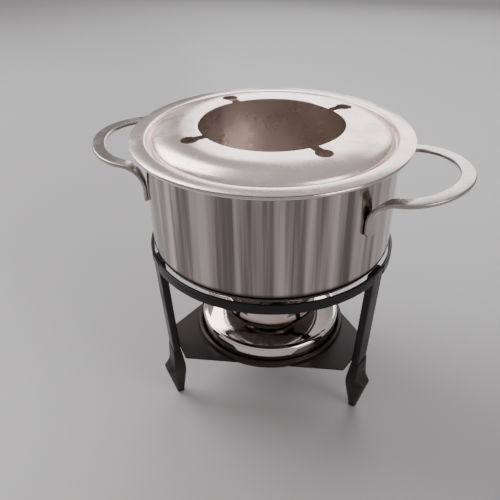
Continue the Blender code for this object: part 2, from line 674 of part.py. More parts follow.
def make_gauze(material):
    """Disc of wire gauze on the wadding."""
    points = disc_points(CAN_INSIDE_RADIUS - WADDING_GAP, WADDING_TOP_Z + TOUCH_GAP, GAUZE_TOP_Z)
    return turned_part("gauze", points, material, SMALL_STEPS)


def make_gauze_ring(material):
    """Spring wire ring that holds the gauze down."""
    wire = GAUZE_RING_WIRE / 2
    ring_r = CAN_INSIDE_RADIUS - TOUCH_GAP - wire
    ring_z = GAUZE_TOP_Z + TOUCH_GAP + wire
    points = arc(ring_r, ring_z, wire, 0, -360, 8)[:-1]
    return turned_part("gauze_ring", points, material, SMALL_STEPS, closed=True)


def port_cutters():
    """Round air ports, cut through the cover and the regulator disc alike."""
    cutters = []
    height = 2 * (COVER_SHEET + REGULATOR_THICKNESS) + 2 * CUT_OVERRUN
    for index in range(PORT_COUNT):
        angle = 2 * math.pi * (index + 0.5) / PORT_COUNT + math.radians(LEVER_ANGLE_DEG)
        cutter = add_cutter(f"air_port_{index}", cylinder_mesh("port", PORT_RADIUS, height, 16))
        cutter.location = (PORT_PLACE * math.cos(angle), PORT_PLACE * math.sin(angle), COVER_TOP_Z)
        cutters.append(cutter)
    return cutters


def make_cover(cutters, material):
    """Cap on the can, with a collar around the flame opening that the disc turns on."""
    lip_r = FLAME_OPENING_RADIUS + COLLAR_LIP_WIDTH
    corner = COVER_CORNER_RADIUS
    points = [(lip_r, COLLAR_LIP_Z), (FLAME_OPENING_RADIUS, COLLAR_LIP_Z),
              (FLAME_OPENING_RADIUS, COVER_TOP_Z)]
    points += arc(COVER_RADIUS - corner, COVER_TOP_Z - corner, corner, 90, 0, 3)
    points.append((COVER_RADIUS, COVER_SKIRT_Z))
    cover = turned_part("burner_cover", points, material, SMALL_STEPS, sheet=COVER_SHEET)
    for cutter in cutters:
        combine(cover, cutter, "DIFFERENCE")
    return cover


def make_regulator(cutters, material):
    """Flat disc with the same ports and a lever."""
    inner = FLAME_OPENING_RADIUS + REGULATOR_GAP
    points = [(inner, REGULATOR_TOP_Z), (REGULATOR_RADIUS, REGULATOR_TOP_Z),
              (REGULATOR_RADIUS, REGULATOR_BOTTOM_Z), (inner, REGULATOR_BOTTOM_Z)]
    disc = turned_part("regulator_disc", points, material, SMALL_STEPS, closed=True)
    root = PORT_PLACE + PORT_RADIUS
    length = REGULATOR_RADIUS + LEVER_LENGTH - root
    lever = add_cutter("lever", box_mesh("lever", (length, LEVER_WIDTH, REGULATOR_THICKNESS)))
    turn_matrix = Matrix.Rotation(math.radians(LEVER_ANGLE_DEG), 4, "Z")
    middle_z = (REGULATOR_BOTTOM_Z + REGULATOR_TOP_Z) / 2
    lever.location = turn_matrix @ Vector((root + length / 2, 0.0, middle_z))
    turn_about_z(lever, LEVER_ANGLE_DEG)
    combine(disc, lever, "UNION")
    for cutter in cutters:
        combine(disc, cutter, "DIFFERENCE")
    return disc


def make_knob(material):
    """Small heat-proof knob near the lever's end, with a domed top."""
    bottom_z = REGULATOR_TOP_Z + TOUCH_GAP
    waist = 0.7 * KNOB_RADIUS
    dome_z = bottom_z + 0.6 * KNOB_HEIGHT
    dome_rise = KNOB_HEIGHT - (dome_z - bottom_z)
    points = []
    for index in range(5):
        angle = math.radians(90 - 22.5 * index)
        points.append((KNOB_RADIUS * math.cos(angle), dome_z + dome_rise * math.sin(angle)))
    points[0] = (0.0, dome_z + dome_rise)
    points += [(waist, bottom_z + 0.2 * KNOB_HEIGHT), (waist, bottom_z), (0.0, bottom_z)]
    knob = turned_part("regulator_knob", points, material, 20)
    place_r = REGULATOR_RADIUS + LEVER_LENGTH - KNOB_RADIUS
    angle = math.radians(LEVER_ANGLE_DEG)
    knob.location = (place_r * math.cos(angle), place_r * math.sin(angle), 0.0)
    return knob


# ---------------------------------------------------------------- the whole set
clear_scene()
PARTS = new_collection("fondue_set")
CUTTERS = new_collection("cutters")

polished_steel = new_material("polished_steel", (0.66, 0.63, 0.61), 1.0, 0.12)
satin_steel = new_material("satin_steel", (0.70, 0.67, 0.64), 1.0, 0.28)
handle_steel = new_material("handle_steel", (0.68, 0.66, 0.62), 1.0, 0.22)
black_paint = new_material("black_paint", (0.035, 0.032, 0.034), 0.0, 0.45)
black_plastic = new_material("black_plastic", (0.045, 0.04, 0.042), 0.0, 0.55)
bright_chrome = new_material("bright_chrome", (0.72, 0.70, 0.68), 1.0, 0.08)
wool = new_material("wool", (0.82, 0.80, 0.74), 0.0, 0.95)
wire = new_material("wire", (0.55, 0.54, 0.52), 1.0, 0.35)

make_pot(polished_steel)
make_handle("handle_right", 0.0, handle_steel)
make_handle("handle_left", 180.0, handle_steel)
make_guard(satin_steel)

make_ring(black_paint)
for leg_side in LEG_ANGLES_DEG:
    make_leg(leg_side, black_paint)
    make_foot(leg_side, black_plastic)
make_plate(black_paint)

make_housing(bright_chrome)
make_burner_base(bright_chrome)
make_can(bright_chrome)
make_wadding(wool)
make_gauze(wire)
make_gauze_ring(wire)
air_ports = port_cutters()
make_cover(air_ports, bright_chrome)
make_regulator(air_ports, bright_chrome)
make_knob(black_plastic)
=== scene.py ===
import math

import bmesh
import bpy
from mathutils import Matrix, Vector, noise


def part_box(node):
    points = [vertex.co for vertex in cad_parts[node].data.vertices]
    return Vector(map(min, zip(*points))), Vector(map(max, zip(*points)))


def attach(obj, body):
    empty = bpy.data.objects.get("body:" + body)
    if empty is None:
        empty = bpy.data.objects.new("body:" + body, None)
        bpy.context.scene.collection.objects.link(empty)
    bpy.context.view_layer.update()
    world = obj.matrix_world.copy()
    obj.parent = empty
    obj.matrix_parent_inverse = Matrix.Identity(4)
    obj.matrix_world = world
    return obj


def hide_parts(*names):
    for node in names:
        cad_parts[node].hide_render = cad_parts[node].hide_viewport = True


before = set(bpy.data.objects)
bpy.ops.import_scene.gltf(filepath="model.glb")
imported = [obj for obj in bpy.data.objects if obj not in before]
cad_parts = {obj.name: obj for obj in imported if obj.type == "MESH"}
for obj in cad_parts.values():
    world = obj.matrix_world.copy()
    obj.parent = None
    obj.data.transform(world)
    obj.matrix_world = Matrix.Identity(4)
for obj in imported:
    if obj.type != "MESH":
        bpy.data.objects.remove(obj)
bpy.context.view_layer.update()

MM = 0.001
COLLECTION = bpy.context.scene.collection

# The camera stands where the photographer stood.
CAMERA_PLACE = Vector((31.227, -368.049, 365.84)) * MM
CAMERA_RIGHT = Vector((0.99270, 0.11981, -0.01370))
CAMERA_UP = Vector((-0.05450, 0.54711, 0.83529))
CAMERA_FORWARD = Vector((-0.10757, 0.82844, -0.54964))
CAMERA_LENS = 39.66

# ---------------------------------------------------------------- sizes, as in the CAD
TOUCH_GAP = 0.3 * MM
POT_SEAT_GAP = 0.4 * MM
POT_RADIUS = 90 * MM
POT_WALL = 1.0 * MM
POT_CORNER_RADIUS = 10 * MM
POT_CORNER_TOP_Z = 146.4 * MM
POT_BOTTOM_Z = POT_CORNER_TOP_Z - POT_CORNER_RADIUS
POT_RIM_Z = 222.3 * MM
LIP_RADIUS = 98.4 * MM
LIP_BEAD_RADIUS = 1.4 * MM
LIP_BEND_RADIUS = 1.6 * MM
POT_TURN_DEG = -12.35

STRAP_WIDTH = 10 * MM
STRAP_THICKNESS = 3 * MM
STRAP_EDGE_RADIUS = 1.2 * MM
HANDLE_REACH = 139.4 * MM
HANDLE_HEIGHT_Z = 204 * MM
HANDLE_RISE = 0.095
HANDLE_SPREAD = 44.7 * MM
TAB_BOTTOM_Z = 178 * MM
TAB_BEND_RADIUS = 16 * MM
LOOP_START = 98.5 * MM
LOOP_POWER = 1.09

GUARD_SHEET = 0.9 * MM
GUARD_RADIUS = 99 * MM
GUARD_MOUTH_RADIUS = 51.3 * MM
GUARD_FLAT_RADIUS = 62 * MM
GUARD_FLANGE_Z = POT_RIM_Z + TOUCH_GAP + GUARD_SHEET
GUARD_CROWN_Z = GUARD_FLANGE_Z + 5.8 * MM
GUARD_GUTTER_Z = GUARD_FLANGE_Z - 5.2 * MM
GUTTER_OUTER_RADIUS = 88.5 * MM
GUTTER_INNER_RADIUS = 85.0 * MM
FORK_REST_RADIUS = 6 * MM
FORK_REST_PLACE = 62.5 * MM
FORK_NECK_WIDTH = 6.5 * MM
FORK_REST_TURN_DEG = 36.15

RING_TOP_Z = 140.5 * MM
RING_BOTTOM_Z = 133.2 * MM
RING_INNER_RADIUS = 90.6 * MM
RING_OUTER_RADIUS = 93.0 * MM
RING_NOTCH_FLOOR = 91.4 * MM
LEG_WIDTH = 15.6 * MM
LEG_THICKNESS = 5.7 * MM
LEG_TOP_RADIUS = 92.9 * MM
LEG_PLATE_RADIUS = 89.0 * MM
LEG_BOTTOM_Z = 27 * MM
LEG_ANGLES_DEG = {"left": 210.0, "right": 330.0, "back": 90.0}
PLATE_TOP_Z = 55 * MM
PLATE_SHEET = 1.5 * MM
PLATE_APOTHEM = 58.5 * MM
RECESS_FLOOR_Z = 52 * MM
RECESS_RADIUS = 58.1 * MM
RECESS_RIM_WIDTH = 3.7 * MM
RECESS_RIM_RISE = 3 * MM
LEG_LEAN = (LEG_TOP_RADIUS - LEG_PLATE_RADIUS) / (RING_TOP_Z - PLATE_TOP_Z)

FOOT_TOP_Z = 52 * MM
SHOE_GAP = 0.08 * MM
SHOE_LIP = 0.35 * MM
FOOT_WALL = 1.3 * MM
FOOT_KNEE_Z = 36 * MM
FOOT_HEEL_Z = 30.5 * MM
FOOT_HEEL_REACH = 6.2 * MM
FOOT_HEEL_WIDTH = 9 * MM
FOOT_TIP_DEPTH = 5 * MM
FOOT_TIP_WIDTH = 6 * MM
FOOT_TIP_EASE = 1.2 * MM
FOOT_POCKET_GAP = 0.3 * MM

BURNER_RADIUS = 57 * MM
BURNER_BOTTOM_Z = 52.3 * MM
BURNER_SHOULDER_Z = 68.3 * MM
BURNER_SHOULDER_RADIUS = 3 * MM
BURNER_DOME_RISE = 7.8 * MM
BURNER_SHEET = 1.0 * MM
CAN_RADIUS = 36.6 * MM
CAN_WALL = 0.8 * MM
CAN_FIT_GAP = 0.5 * MM
CAN_BOTTOM_Z = 53.6 * MM
CAN_TOP_Z = 87.6 * MM
CAN_INSIDE_RADIUS = CAN_RADIUS - CAN_WALL
COVER_SHEET = 0.8 * MM
COVER_TOP_Z = CAN_TOP_Z + TOUCH_GAP + COVER_SHEET
COVER_RADIUS = CAN_RADIUS + CAN_FIT_GAP + COVER_SHEET
FLAME_OPENING_RADIUS = 18.5 * MM
REGULATOR_RADIUS = 34 * MM
REGULATOR_BOTTOM_Z = COVER_TOP_Z + TOUCH_GAP
REGULATOR_TOP_Z = REGULATOR_BOTTOM_Z + 0.8 * MM
COLLAR_LIP_Z = REGULATOR_TOP_Z + TOUCH_GAP
PORT_COUNT = 8
PORT_RADIUS = 3.2 * MM
PORT_PLACE = 27.5 * MM
LEVER_LENGTH = 19 * MM
LEVER_WIDTH = 6 * MM
LEVER_ANGLE_DEG = 62.0
KNOB_RADIUS = 4 * MM
KNOB_HEIGHT = 5 * MM
CUT_PAST = 3 * MM  # how far a cutting shape reaches past what it cuts
SEAT_CUT_TOP_Z = 160 * MM
# Heights over which the painted shade on the pot's bottom corner fades out.
CORNER_SHADE_FADE_Z = (145 * MM, 148 * MM)
WIRE_SIDES = 5


# ---------------------------------------------------------------- materials
class Paint:
    """A material and short ways to add nodes to it."""

    def __init__(self, name, metallic, roughness):
        self.material = bpy.data.materials.new(name)
        self.material.use_nodes = True
        self.tree = self.material.node_tree
        self.shader = self.tree.nodes["Principled BSDF"]
        self.shader.inputs["Metallic"].default_value = metallic
        self.shader.inputs["Roughness"].default_value = roughness
        place = self.tree.nodes.new("ShaderNodeTexCoord")
        self.place = place.outputs["Object"]
        split = self.tree.nodes.new("ShaderNodeSeparateXYZ")
        self.join(self.place, split.inputs[0])
        self.x, self.y, self.z = split.outputs
        squares = self.sum(self.times(self.x, self.x), self.times(self.y, self.y))
        self.radius = self.math("SQRT", squares)
        self.cosine = self.math("DIVIDE", self.x, self.radius)
        self.sine = self.math("DIVIDE", self.y, self.radius)

    def join(self, source, target):
        self.tree.links.new(source, target)

    def fill(self, socket, value):
        if isinstance(value, bpy.types.NodeSocket):
            self.join(value, socket)
        else:
            socket.default_value = value

    def math(self, operation, first, second=0.0):
        node = self.tree.nodes.new("ShaderNodeMath")
        node.operation = operation
        self.fill(node.inputs[0], first)
        self.fill(node.inputs[1], second)
        return node.outputs[0]

    def sum(self, first, second):
        return self.math("ADD", first, second)

    def times(self, first, second):
        return self.math("MULTIPLY", first, second)

    def step(self, value, low, high, start=0.0, end=1.0):
        """Rises smoothly from start to end as value goes from low to high."""
        node = self.tree.nodes.new("ShaderNodeMapRange")
        node.interpolation_type = "SMOOTHSTEP"
        self.fill(node.inputs["Value"], value)
        limits = {"From Min": low, "From Max": high, "To Min": start, "To Max": end}
        for key, number in limits.items():
            node.inputs[key].default_value = number
        return node.outputs["Result"]

    def vector(self, x, y, z):
        node = self.tree.nodes.new("ShaderNodeCombineXYZ")
        for socket, value in zip(node.inputs, (x, y, z)):
            self.fill(socket, value)
        return node.outputs[0]

    def noise(self, scale, vector=None, detail=3.0, roughness=0.55):
        node = self.tree.nodes.new("ShaderNodeTexNoise")
        self.join(vector or self.place, node.inputs["Vector"])
        node.inputs["Scale"].default_value = scale
        node.inputs["Detail"].default_value = detail
        node.inputs["Roughness"].default_value = roughness
        return node.outputs["Fac"]

    def mix(self, share, first, second):
        node = self.tree.nodes.new("ShaderNodeMix")
        node.data_type = "RGBA"
        self.fill(node.inputs["Factor"], share)
        for name, value in (("A", first), ("B", second)):
            socket = [s for s in node.inputs if s.name == name and s.type == "RGBA"][0]
            if isinstance(value, tuple):
                value = (*value, 1.0)
            self.fill(socket, value)
        return [s for s in node.outputs if s.type == "RGBA"][0]

    def bump(self, height, distance, strength=1.0, before=None):
        node = self.tree.nodes.new("ShaderNodeBump")
        node.inputs["Distance"].default_value = distance
        node.inputs["Strength"].default_value = strength
        self.join(height, node.inputs["Height"])
        if before:
            self.join(before, node.inputs["Normal"])
        return node.outputs[0]

    def finish(self, colour=None, roughness=None, normal=None):
        for name, value in (("Base Color", colour), ("Roughness", roughness), ("Normal", normal)):
            if value is not None:
                self.join(value, self.shader.inputs[name])
        return self.material

    def round_grain(self, along, across, scale=1.0):
        """Noise drawn out around the axis, as turning and polishing leave it."""
        rise = self.sum(self.radius, self.z)
        return self.noise(scale, self.around(along, self.times(rise, across)), 4.0, 0.6)

    def around(self, along, height):
        """A place that goes once around with the angle, without a seam."""
        return self.vector(self.times(self.cosine, along), self.times(self.sine, along), height)

    def smudges(self, scale=38.0):
        """Soft patches left by hands and by wiping."""
        return self.step(self.noise(scale, None, 5.0, 0.62), 0.42, 0.68)


def pot_material():
    """Mirror-polished wall with faint upright bands of painted reflection, hairlines and smudges;
    browner and duller inside; the bottom corner is painted dark as painted shade.
    """
    paint = Paint("pot_polished_steel", 1.0, 0.1)
    # Painted reflection: dark and bright upright bands fixed around the wall stand in for surroundings
    # mirrored in the polished steel.
    reflection_bands = paint.noise(1.0, paint.around(REFLECTION_BAND_TURNS, paint.times(paint.z, 2.0)), 4.0)
    wall = paint.mix(paint.step(reflection_bands, 0.36, 0.64), PAINTED_REFLECTION_DARK, PAINTED_REFLECTION_BRIGHT)
    lip = paint.step(paint.radius, 90.6 * MM, 92.0 * MM)
    wall = paint.mix(lip, wall, (0.74, 0.69, 0.66))
    corner_r = POT_RADIUS - POT_CORNER_RADIUS
    reach = paint.math("MAXIMUM", paint.sum(paint.radius, -corner_r), 0.0)
    drop = paint.math("MINIMUM", paint.sum(paint.z, -POT_CORNER_TOP_Z), 0.0)
    spread = paint.math("SQRT", paint.sum(paint.times(reach, reach), paint.times(drop, drop)))
    middle = POT_CORNER_RADIUS - POT_WALL / 2
    inside = paint.step(spread, middle - 0.15 * MM, middle + 0.15 * MM, 1.0, 0.0)
    colour = paint.mix(inside, wall, (0.72, 0.64, 0.60))
    # Painted shade: the outside of the wall below the corner's top is painted near black, where the gap
    # above the ring lies in shade.
    corner_shade = paint.times(paint.step(paint.z, *CORNER_SHADE_FADE_Z, 1.0, 0.0),
                          paint.step(inside, 0.0, 1.0, 0.92, 0.0))
    colour = paint.mix(corner_shade, colour, (0.07, 0.058, 0.056))
    hairs = paint.round_grain(5.0, 5200.0)
    hairs = paint.times(hairs, paint.step(paint.radius, 4.0 * MM, 30.0 * MM))
    lines = paint.step(hairs, 0.60, 0.72)
    left = paint.step(paint.noise(26.0), 0.46, 0.62)
    scratch = paint.times(lines, left)
    smudge = paint.smudges()
    rough = paint.sum(paint.step(smudge, 0.0, 1.0, 0.07, 0.16), paint.times(scratch, 0.14))
    rough = paint.sum(rough, paint.times(inside, 0.20))
    ripple = paint.noise(1.0, paint.around(8.0, paint.times(paint.z, 22.0)), 2.0)
    ripple = paint.times(ripple, paint.step(paint.radius, 40.0 * MM, 85.0 * MM))
    normal = paint.bump(ripple, 0.9 * MM, 0.35)
    normal = paint.bump(hairs, 0.012 * MM, 0.5, normal)
    return paint.finish(colour, rough, normal)


def guard_material():
    """Satin spun steel with a warm tint, a few dark specks and dull patches; the gutter and the sheet's
    underside are painted darker as painted shade.
    """
    paint = Paint("guard_spun_steel", 1.0, 0.28)
    paint.shader.inputs["Anisotropic"].default_value = 0.45
    grain = paint.round_grain(2.2, 3600.0)
    broad = paint.noise(11.0, None, 3.0)
    colour = paint.mix(paint.step(broad, 0.35, 0.65), (1.0, 0.86, 0.82), (0.92, 0.765, 0.72))
    colour = paint.mix(paint.step(grain, 0.35, 0.7, 0.0, 0.35), colour, (0.80, 0.68, 0.64))
    specks = paint.step(paint.noise(520.0, None, 1.0), 0.765, 0.80)
    colour = paint.mix(paint.times(specks, 0.6), colour, (0.20, 0.16, 0.14))
    # Painted shade: below the flange the gutter and the sheet's underside are painted up to half way
    # towards dark grey.
    gutter_shade = paint.step(paint.z, 217.0 * MM, 219.4 * MM, 0.5, 0.0)
    colour = paint.mix(gutter_shade, colour, (0.36, 0.31, 0.29))
    rough = paint.sum(paint.step(paint.smudges(30.0), 0.0, 1.0, 0.20, 0.31), paint.times(grain, 0.06))
    normal = paint.bump(grain, 0.02 * MM, 0.6)
    normal = paint.bump(paint.noise(16.0, None, 2.0), 1.1 * MM, 0.16, normal)
    return paint.finish(colour, rough, normal)


def handle_material():
    """Drawn steel strap, slightly dulled by handling."""
    paint = Paint("handle_steel_strap", 1.0, 0.22)
    fine = paint.noise(900.0, None, 2.0)
    broad = paint.noise(30.0, None, 4.0)
    colour = paint.mix(paint.step(broad, 0.35, 0.66), (0.53, 0.49, 0.455), (0.43, 0.39, 0.355))
    tab = paint.step(paint.z, 192.0 * MM, 202.0 * MM, 1.0, 0.0)
    colour = paint.mix(paint.times(tab, 0.45), colour, (0.50, 0.45, 0.42))
    rough = paint.sum(paint.step(paint.smudges(70.0), 0.0, 1.0, 0.15, 0.27), paint.times(fine, 0.06))
    normal = paint.bump(fine, 0.015 * MM, 0.5)
    normal = paint.bump(broad, 0.7 * MM, 0.2, normal)
    return paint.finish(colour, rough, normal)


def stand_material(name, colour, worn, roughness, wear_from):
    """Baked black paint: fine orange peel, dust and small worn spots."""
    paint = Paint(name, 0.0, roughness)
    paint.shader.inputs["Specular IOR Level"].default_value = 0.3
    peel = paint.noise(620.0, None, 2.0)
    dust = paint.step(paint.noise(24.0, None, 5.0), 0.45, 0.75)
    tone = paint.mix(paint.times(dust, 0.4), colour, worn)
    chips = paint.step(paint.noise(150.0, None, 4.0, 0.7), wear_from, wear_from + 0.03)
    tone = paint.mix(paint.times(chips, 0.55), tone, (0.16, 0.14, 0.13))
    rough = paint.sum(paint.step(dust, 0.0, 1.0, roughness - 0.06, roughness + 0.1),
                      paint.times(peel, 0.05))
    normal = paint.bump(peel, 0.035 * MM, 0.5)
    normal = paint.bump(paint.noise(60.0, None, 3.0), 0.25 * MM, 0.2, normal)
    return paint.finish(tone, rough, normal)


def foot_material():
    """Moulded black plastic with a fine grain and scuffs near the floor."""
    paint = Paint("foot_plastic_black", 0.0, 0.45)
    paint.shader.inputs["Specular IOR Level"].default_value = 0.3
    grain = paint.noise(1400.0, None, 2.0)
    scuff = paint.times(paint.step(paint.noise(210.0, None, 4.0, 0.7), 0.55, 0.66),
                        paint.step(paint.z, 6.0 * MM, 34.0 * MM, 1.0, 0.1))
    patches = paint.step(paint.noise(46.0), 0.35, 0.7)
    tone = paint.mix(patches, (0.016, 0.0135, 0.011), (0.034, 0.029, 0.022))
    tone = paint.mix(paint.step(paint.z, 30.0 * MM, 50.0 * MM), tone, (0.0125, 0.0105, 0.012))
    tone = paint.mix(paint.times(scuff, 0.5), tone, (0.20, 0.175, 0.145))
    rough = paint.sum(paint.step(scuff, 0.0, 1.0, 0.40, 0.62), paint.times(grain, 0.06))
    normal = paint.bump(grain, 0.06 * MM, 0.5)
    return paint.finish(tone, rough, normal)


def chrome_material(name, colour, reflection_brown, roughness):
    """Bright burner steel: spun lines, smudges and a brown painted reflection in patches on the upper
    part.
    """
    paint = Paint(name, 1.0, roughness)
    grain = paint.round_grain(1.6, 2600.0)
    smudge = paint.smudges(52.0)
    # Painted reflection: above the shoulder the steel is tinted brown in patches, standing in for warm
    # surroundings mirrored in it.
    high = paint.step(paint.z, 66.5 * MM, 71.0 * MM)
    brown_reflection = paint.times(high, paint.step(paint.noise(34.0), 0.25, 0.65))
    tone = paint.mix(paint.times(brown_reflection, 0.6), colour, reflection_brown)
    tone = paint.mix(paint.step(grain, 0.5, 0.75, 0.0, 0.2), tone, (0.42, 0.37, 0.34))
    rough = paint.sum(paint.step(smudge, 0.0, 1.0, roughness, roughness + 0.09),
                      paint.times(paint.step(grain, 0.55, 0.75), 0.05))
    normal = paint.bump(grain, 0.012 * MM, 0.5)
    normal = paint.bump(paint.noise(28.0, None, 2.0), 0.9 * MM, 0.14, normal)
    return paint.finish(tone, rough, normal)


def wool_material():
    """Matted pale wadding, scorched darker in patches."""
    paint = Paint("wadding_wool_pad", 0.0, 0.95)
    paint.shader.inputs["Sheen Weight"].default_value = 0.35
    paint.shader.inputs["Sheen Roughness"].default_value = 0.6
    fibres = paint.noise(760.0, None, 5.0, 0.7)
    tone = paint.mix(fibres, (0.62, 0.58, 0.50), (0.86, 0.84, 0.78))
    tone = paint.mix(paint.step(paint.noise(52.0), 0.5, 0.75, 0.0, 0.6), tone, (0.30, 0.23, 0.17))
    normal = paint.bump(fibres, 0.8 * MM, 0.8)
    return paint.finish(tone, None, normal)


def wire_material():
    """Grey wire, darkened by the flame in patches."""
    paint = Paint("gauze_wire_steel", 1.0, 0.34)
    patch = paint.step(paint.noise(60.0, None, 4.0), 0.42, 0.68)
    tone = paint.mix(patch, (0.60, 0.58, 0.55), (0.26, 0.22, 0.20))
    rough = paint.step(patch, 0.0, 1.0, 0.28, 0.5)
    normal = paint.bump(paint.noise(2600.0), 0.02 * MM, 0.5)
    return paint.finish(tone, rough, normal)


# The polished wall's faint upright bands of painted reflection: how close they are around the pot, and
# their dark and bright tones.
REFLECTION_BAND_TURNS = 9.0
PAINTED_REFLECTION_DARK = (0.20, 0.172, 0.162)
PAINTED_REFLECTION_BRIGHT = (0.62, 0.545, 0.52)

POT_STEEL = pot_material()
GUARD_STEEL = guard_material()
HANDLE_STEEL = handle_material()
STAND_PAINT = stand_material("stand_black_paint", (0.0105, 0.0088, 0.0105), (0.026, 0.022, 0.025),
                             0.38, 0.77)
PLATE_PAINT = stand_material("plate_black_paint", (0.017, 0.0125, 0.0115), (0.036, 0.027, 0.024),
                             0.42, 0.745)
FOOT_PLASTIC = foot_material()
BURNER_STEEL = chrome_material("burner_bright_steel", (0.90, 0.82, 0.79), (0.62, 0.49, 0.41), 0.06)
CAN_STEEL = chrome_material("can_bright_steel", (0.70, 0.65, 0.62), (0.40, 0.31, 0.26), 0.14)
WADDING_WOOL = wool_material()
GAUZE_WIRE = wire_material()


# ---------------------------------------------------------------- making shapes
def arc(centre_r, centre_z, radius, start_deg, end_deg, steps):
    """Points (r, z) along an arc. An angle is measured from +r towards +z."""
    points = []
    for index in range(steps + 1):
        angle = math.radians(start_deg + (end_deg - start_deg) * index / steps)
        points.append((centre_r + radius * math.cos(angle), centre_z + radius * math.sin(angle)))
    return points


def both_sides(points, thickness):
    """Closed profile of a sheet, from one side's points. A positive thickness goes to their right."""
    other = []
    last = len(points) - 1
    for index, (r, z) in enumerate(points):
        before = Vector(points[max(index - 1, 0)])
        here = Vector((r, z))
        after = Vector(points[min(index + 1, last)])
        back = (here - before).normalized() if index else (after - here).normalized()
        ahead = (after - here).normalized() if index < last else back
        along = (back + ahead).normalized()
        stretch = 1.0 / max(along.dot(back), 0.5)
        other.append((r + along.y * thickness * stretch, z - along.x * thickness * stretch))
    return points + other[::-1]


def new_object(name, mesh):
    item = bpy.data.objects.new(name, mesh)
    COLLECTION.objects.link(item)
    return item


def mesh_of(name, spots, faces):
    mesh = bpy.data.meshes.new(name)
    mesh.from_pydata([tuple(spot) for spot in spots], [], faces)
    shape = bmesh.new()
    shape.from_mesh(mesh)
    bmesh.ops.remove_doubles(shape, verts=shape.verts, dist=0.001 * MM)
    bmesh.ops.recalc_face_normals(shape, faces=shape.faces)
    shape.to_mesh(mesh)
    shape.free()
    mesh.update()
    return mesh


def lathe(name, points, steps=256, closed=True):
    """A profile of (r, z) points turned about Z. An open one starts and ends on the axis."""
    spots = []
    for index in range(steps):
        angle = 2 * math.pi * index / steps
        spots += [(r * math.cos(angle), r * math.sin(angle), z) for r, z in points]
    count = len(points)
    rows = count if closed else count - 1
    faces = []
    for index in range(steps):
        here = index * count
        there = ((index + 1) % steps) * count
        for row in range(rows):
            ahead = (row + 1) % count
            faces.append((here + row, there + row, there + ahead, here + ahead))
    return new_object(name, mesh_of(name, spots, faces))


def loft(name, rings):
    """Solid through rings of points, with its ends closed."""
    count = len(rings[0])
    spots = [spot for ring in rings for spot in ring]
    faces = []
    for row in range(len(rings) - 1):
        for index in range(count):
            ahead = (index + 1) % count
            faces.append((row * count + index, row * count + ahead,
                          (row + 1) * count + ahead, (row + 1) * count + index))
    faces.append(tuple(range(count - 1, -1, -1)))
    faces.append(tuple(range((len(rings) - 1) * count, len(rings) * count)))
    return new_object(name, mesh_of(name, spots, faces))


def rounded(corners, radius, steps=4):
    """The outline of (x, y) corners, each rounded by the same radius."""
    points = []
    for index, corner in enumerate(corners):
        here = Vector(corner)
        back = Vector(corners[index - 1]) - here
        ahead = Vector(corners[(index + 1) % len(corners)]) - here
        reach = min(radius, 0.42 * back.length, 0.42 * ahead.length)
        start = here + back.normalized() * reach
        end = here + ahead.normalized() * reach
        for step in range(steps + 1):
            t = step / steps
            points.append(start * (1 - t) ** 2 + here * 2 * t * (1 - t) + end * t ** 2)
    return points


def turned(spot, degrees):
    return Matrix.Rotation(math.radians(degrees), 4, "Z") @ Vector(spot)


def turn_mesh(item, degrees):
    item.data.transform(Matrix.Rotation(math.radians(degrees), 4, "Z"))


def bake(item):
    """Apply the object's modifiers to its mesh."""
    graph = bpy.context.evaluated_depsgraph_get()
    mesh = bpy.data.meshes.new_from_object(item.evaluated_get(graph))
    item.modifiers.clear()
    item.data = mesh


def combine(item, other, operation, keep=False):
    step = item.modifiers.new("combine", "BOOLEAN")
    step.operation = operation
    step.object = other
    step.solver = "EXACT"
    bake(item)
    if not keep:
        bpy.data.objects.remove(other, do_unlink=True)


def box(name, low, high):
    corners = [(low[0], low[1]), (high[0], low[1]), (high[0], high[1]), (low[0], high[1])]
    return loft(name, [[(x, y, z) for x, y in corners] for z in (low[2], high[2])])


def smooth(item, angle_deg=32.0):
    for face in item.data.polygons:
        face.use_smooth = True
    item.data.set_sharp_from_angle(angle=math.radians(angle_deg))


def piece(item, node, body, material, angle_deg=32.0):
    """Finish a new piece: its look, the body it rides on and the CAD node it stands for."""
    item.data.materials.clear()
    item.data.materials.append(material)
    smooth(item, angle_deg)
    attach(item, body)
    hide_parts(node)
    return item


# ---------------------------------------------------------------- the pot and its handles
def make_pot():
    corner_r = POT_RADIUS - POT_CORNER_RADIUS
    bead_r = LIP_RADIUS - LIP_BEAD_RADIUS
    bead_z = POT_RIM_Z - LIP_BEAD_RADIUS
    flange_bottom_z = POT_RIM_Z - POT_WALL
    bend_r = POT_RADIUS + LIP_BEND_RADIUS
    bend_z = flange_bottom_z - LIP_BEND_RADIUS
    points = [(0.0, POT_BOTTOM_Z + POT_WALL)]
    points += arc(corner_r, POT_CORNER_TOP_Z, POT_CORNER_RADIUS - POT_WALL, -90, 0, 16)
    points += arc(bend_r, bend_z, LIP_BEND_RADIUS + POT_WALL, 180, 90, 8)
    points += arc(bead_r, bead_z, LIP_BEAD_RADIUS, 90, -150, 16)
    points += arc(bend_r, bend_z, LIP_BEND_RADIUS, 90, 180, 8)
    points += arc(corner_r, POT_CORNER_TOP_Z, POT_CORNER_RADIUS, 0, -90, 18)
    points.append((0.0, POT_BOTTOM_Z))
    pot = lathe("pot_shell", points, 288, closed=False)
    return piece(pot, "pot_body", "pot", POT_STEEL)


def strap_section(centre, across, normal, width):
    half_width = width / 2 - STRAP_EDGE_RADIUS
    half_depth = STRAP_THICKNESS / 2 - STRAP_EDGE_RADIUS
    ring = []
    steps = 5
    for side_x, side_y, start in ((1, 1, 0), (-1, 1, 90), (-1, -1, 180), (1, -1, 270)):
        for step in range(steps + 1):
            angle = math.radians(start + 90.0 * step / steps)
            x = side_x * half_width + STRAP_EDGE_RADIUS * math.cos(angle)
            y = side_y * half_depth + STRAP_EDGE_RADIUS * math.sin(angle)
            ring.append(centre + across * x + normal * y)
    return ring


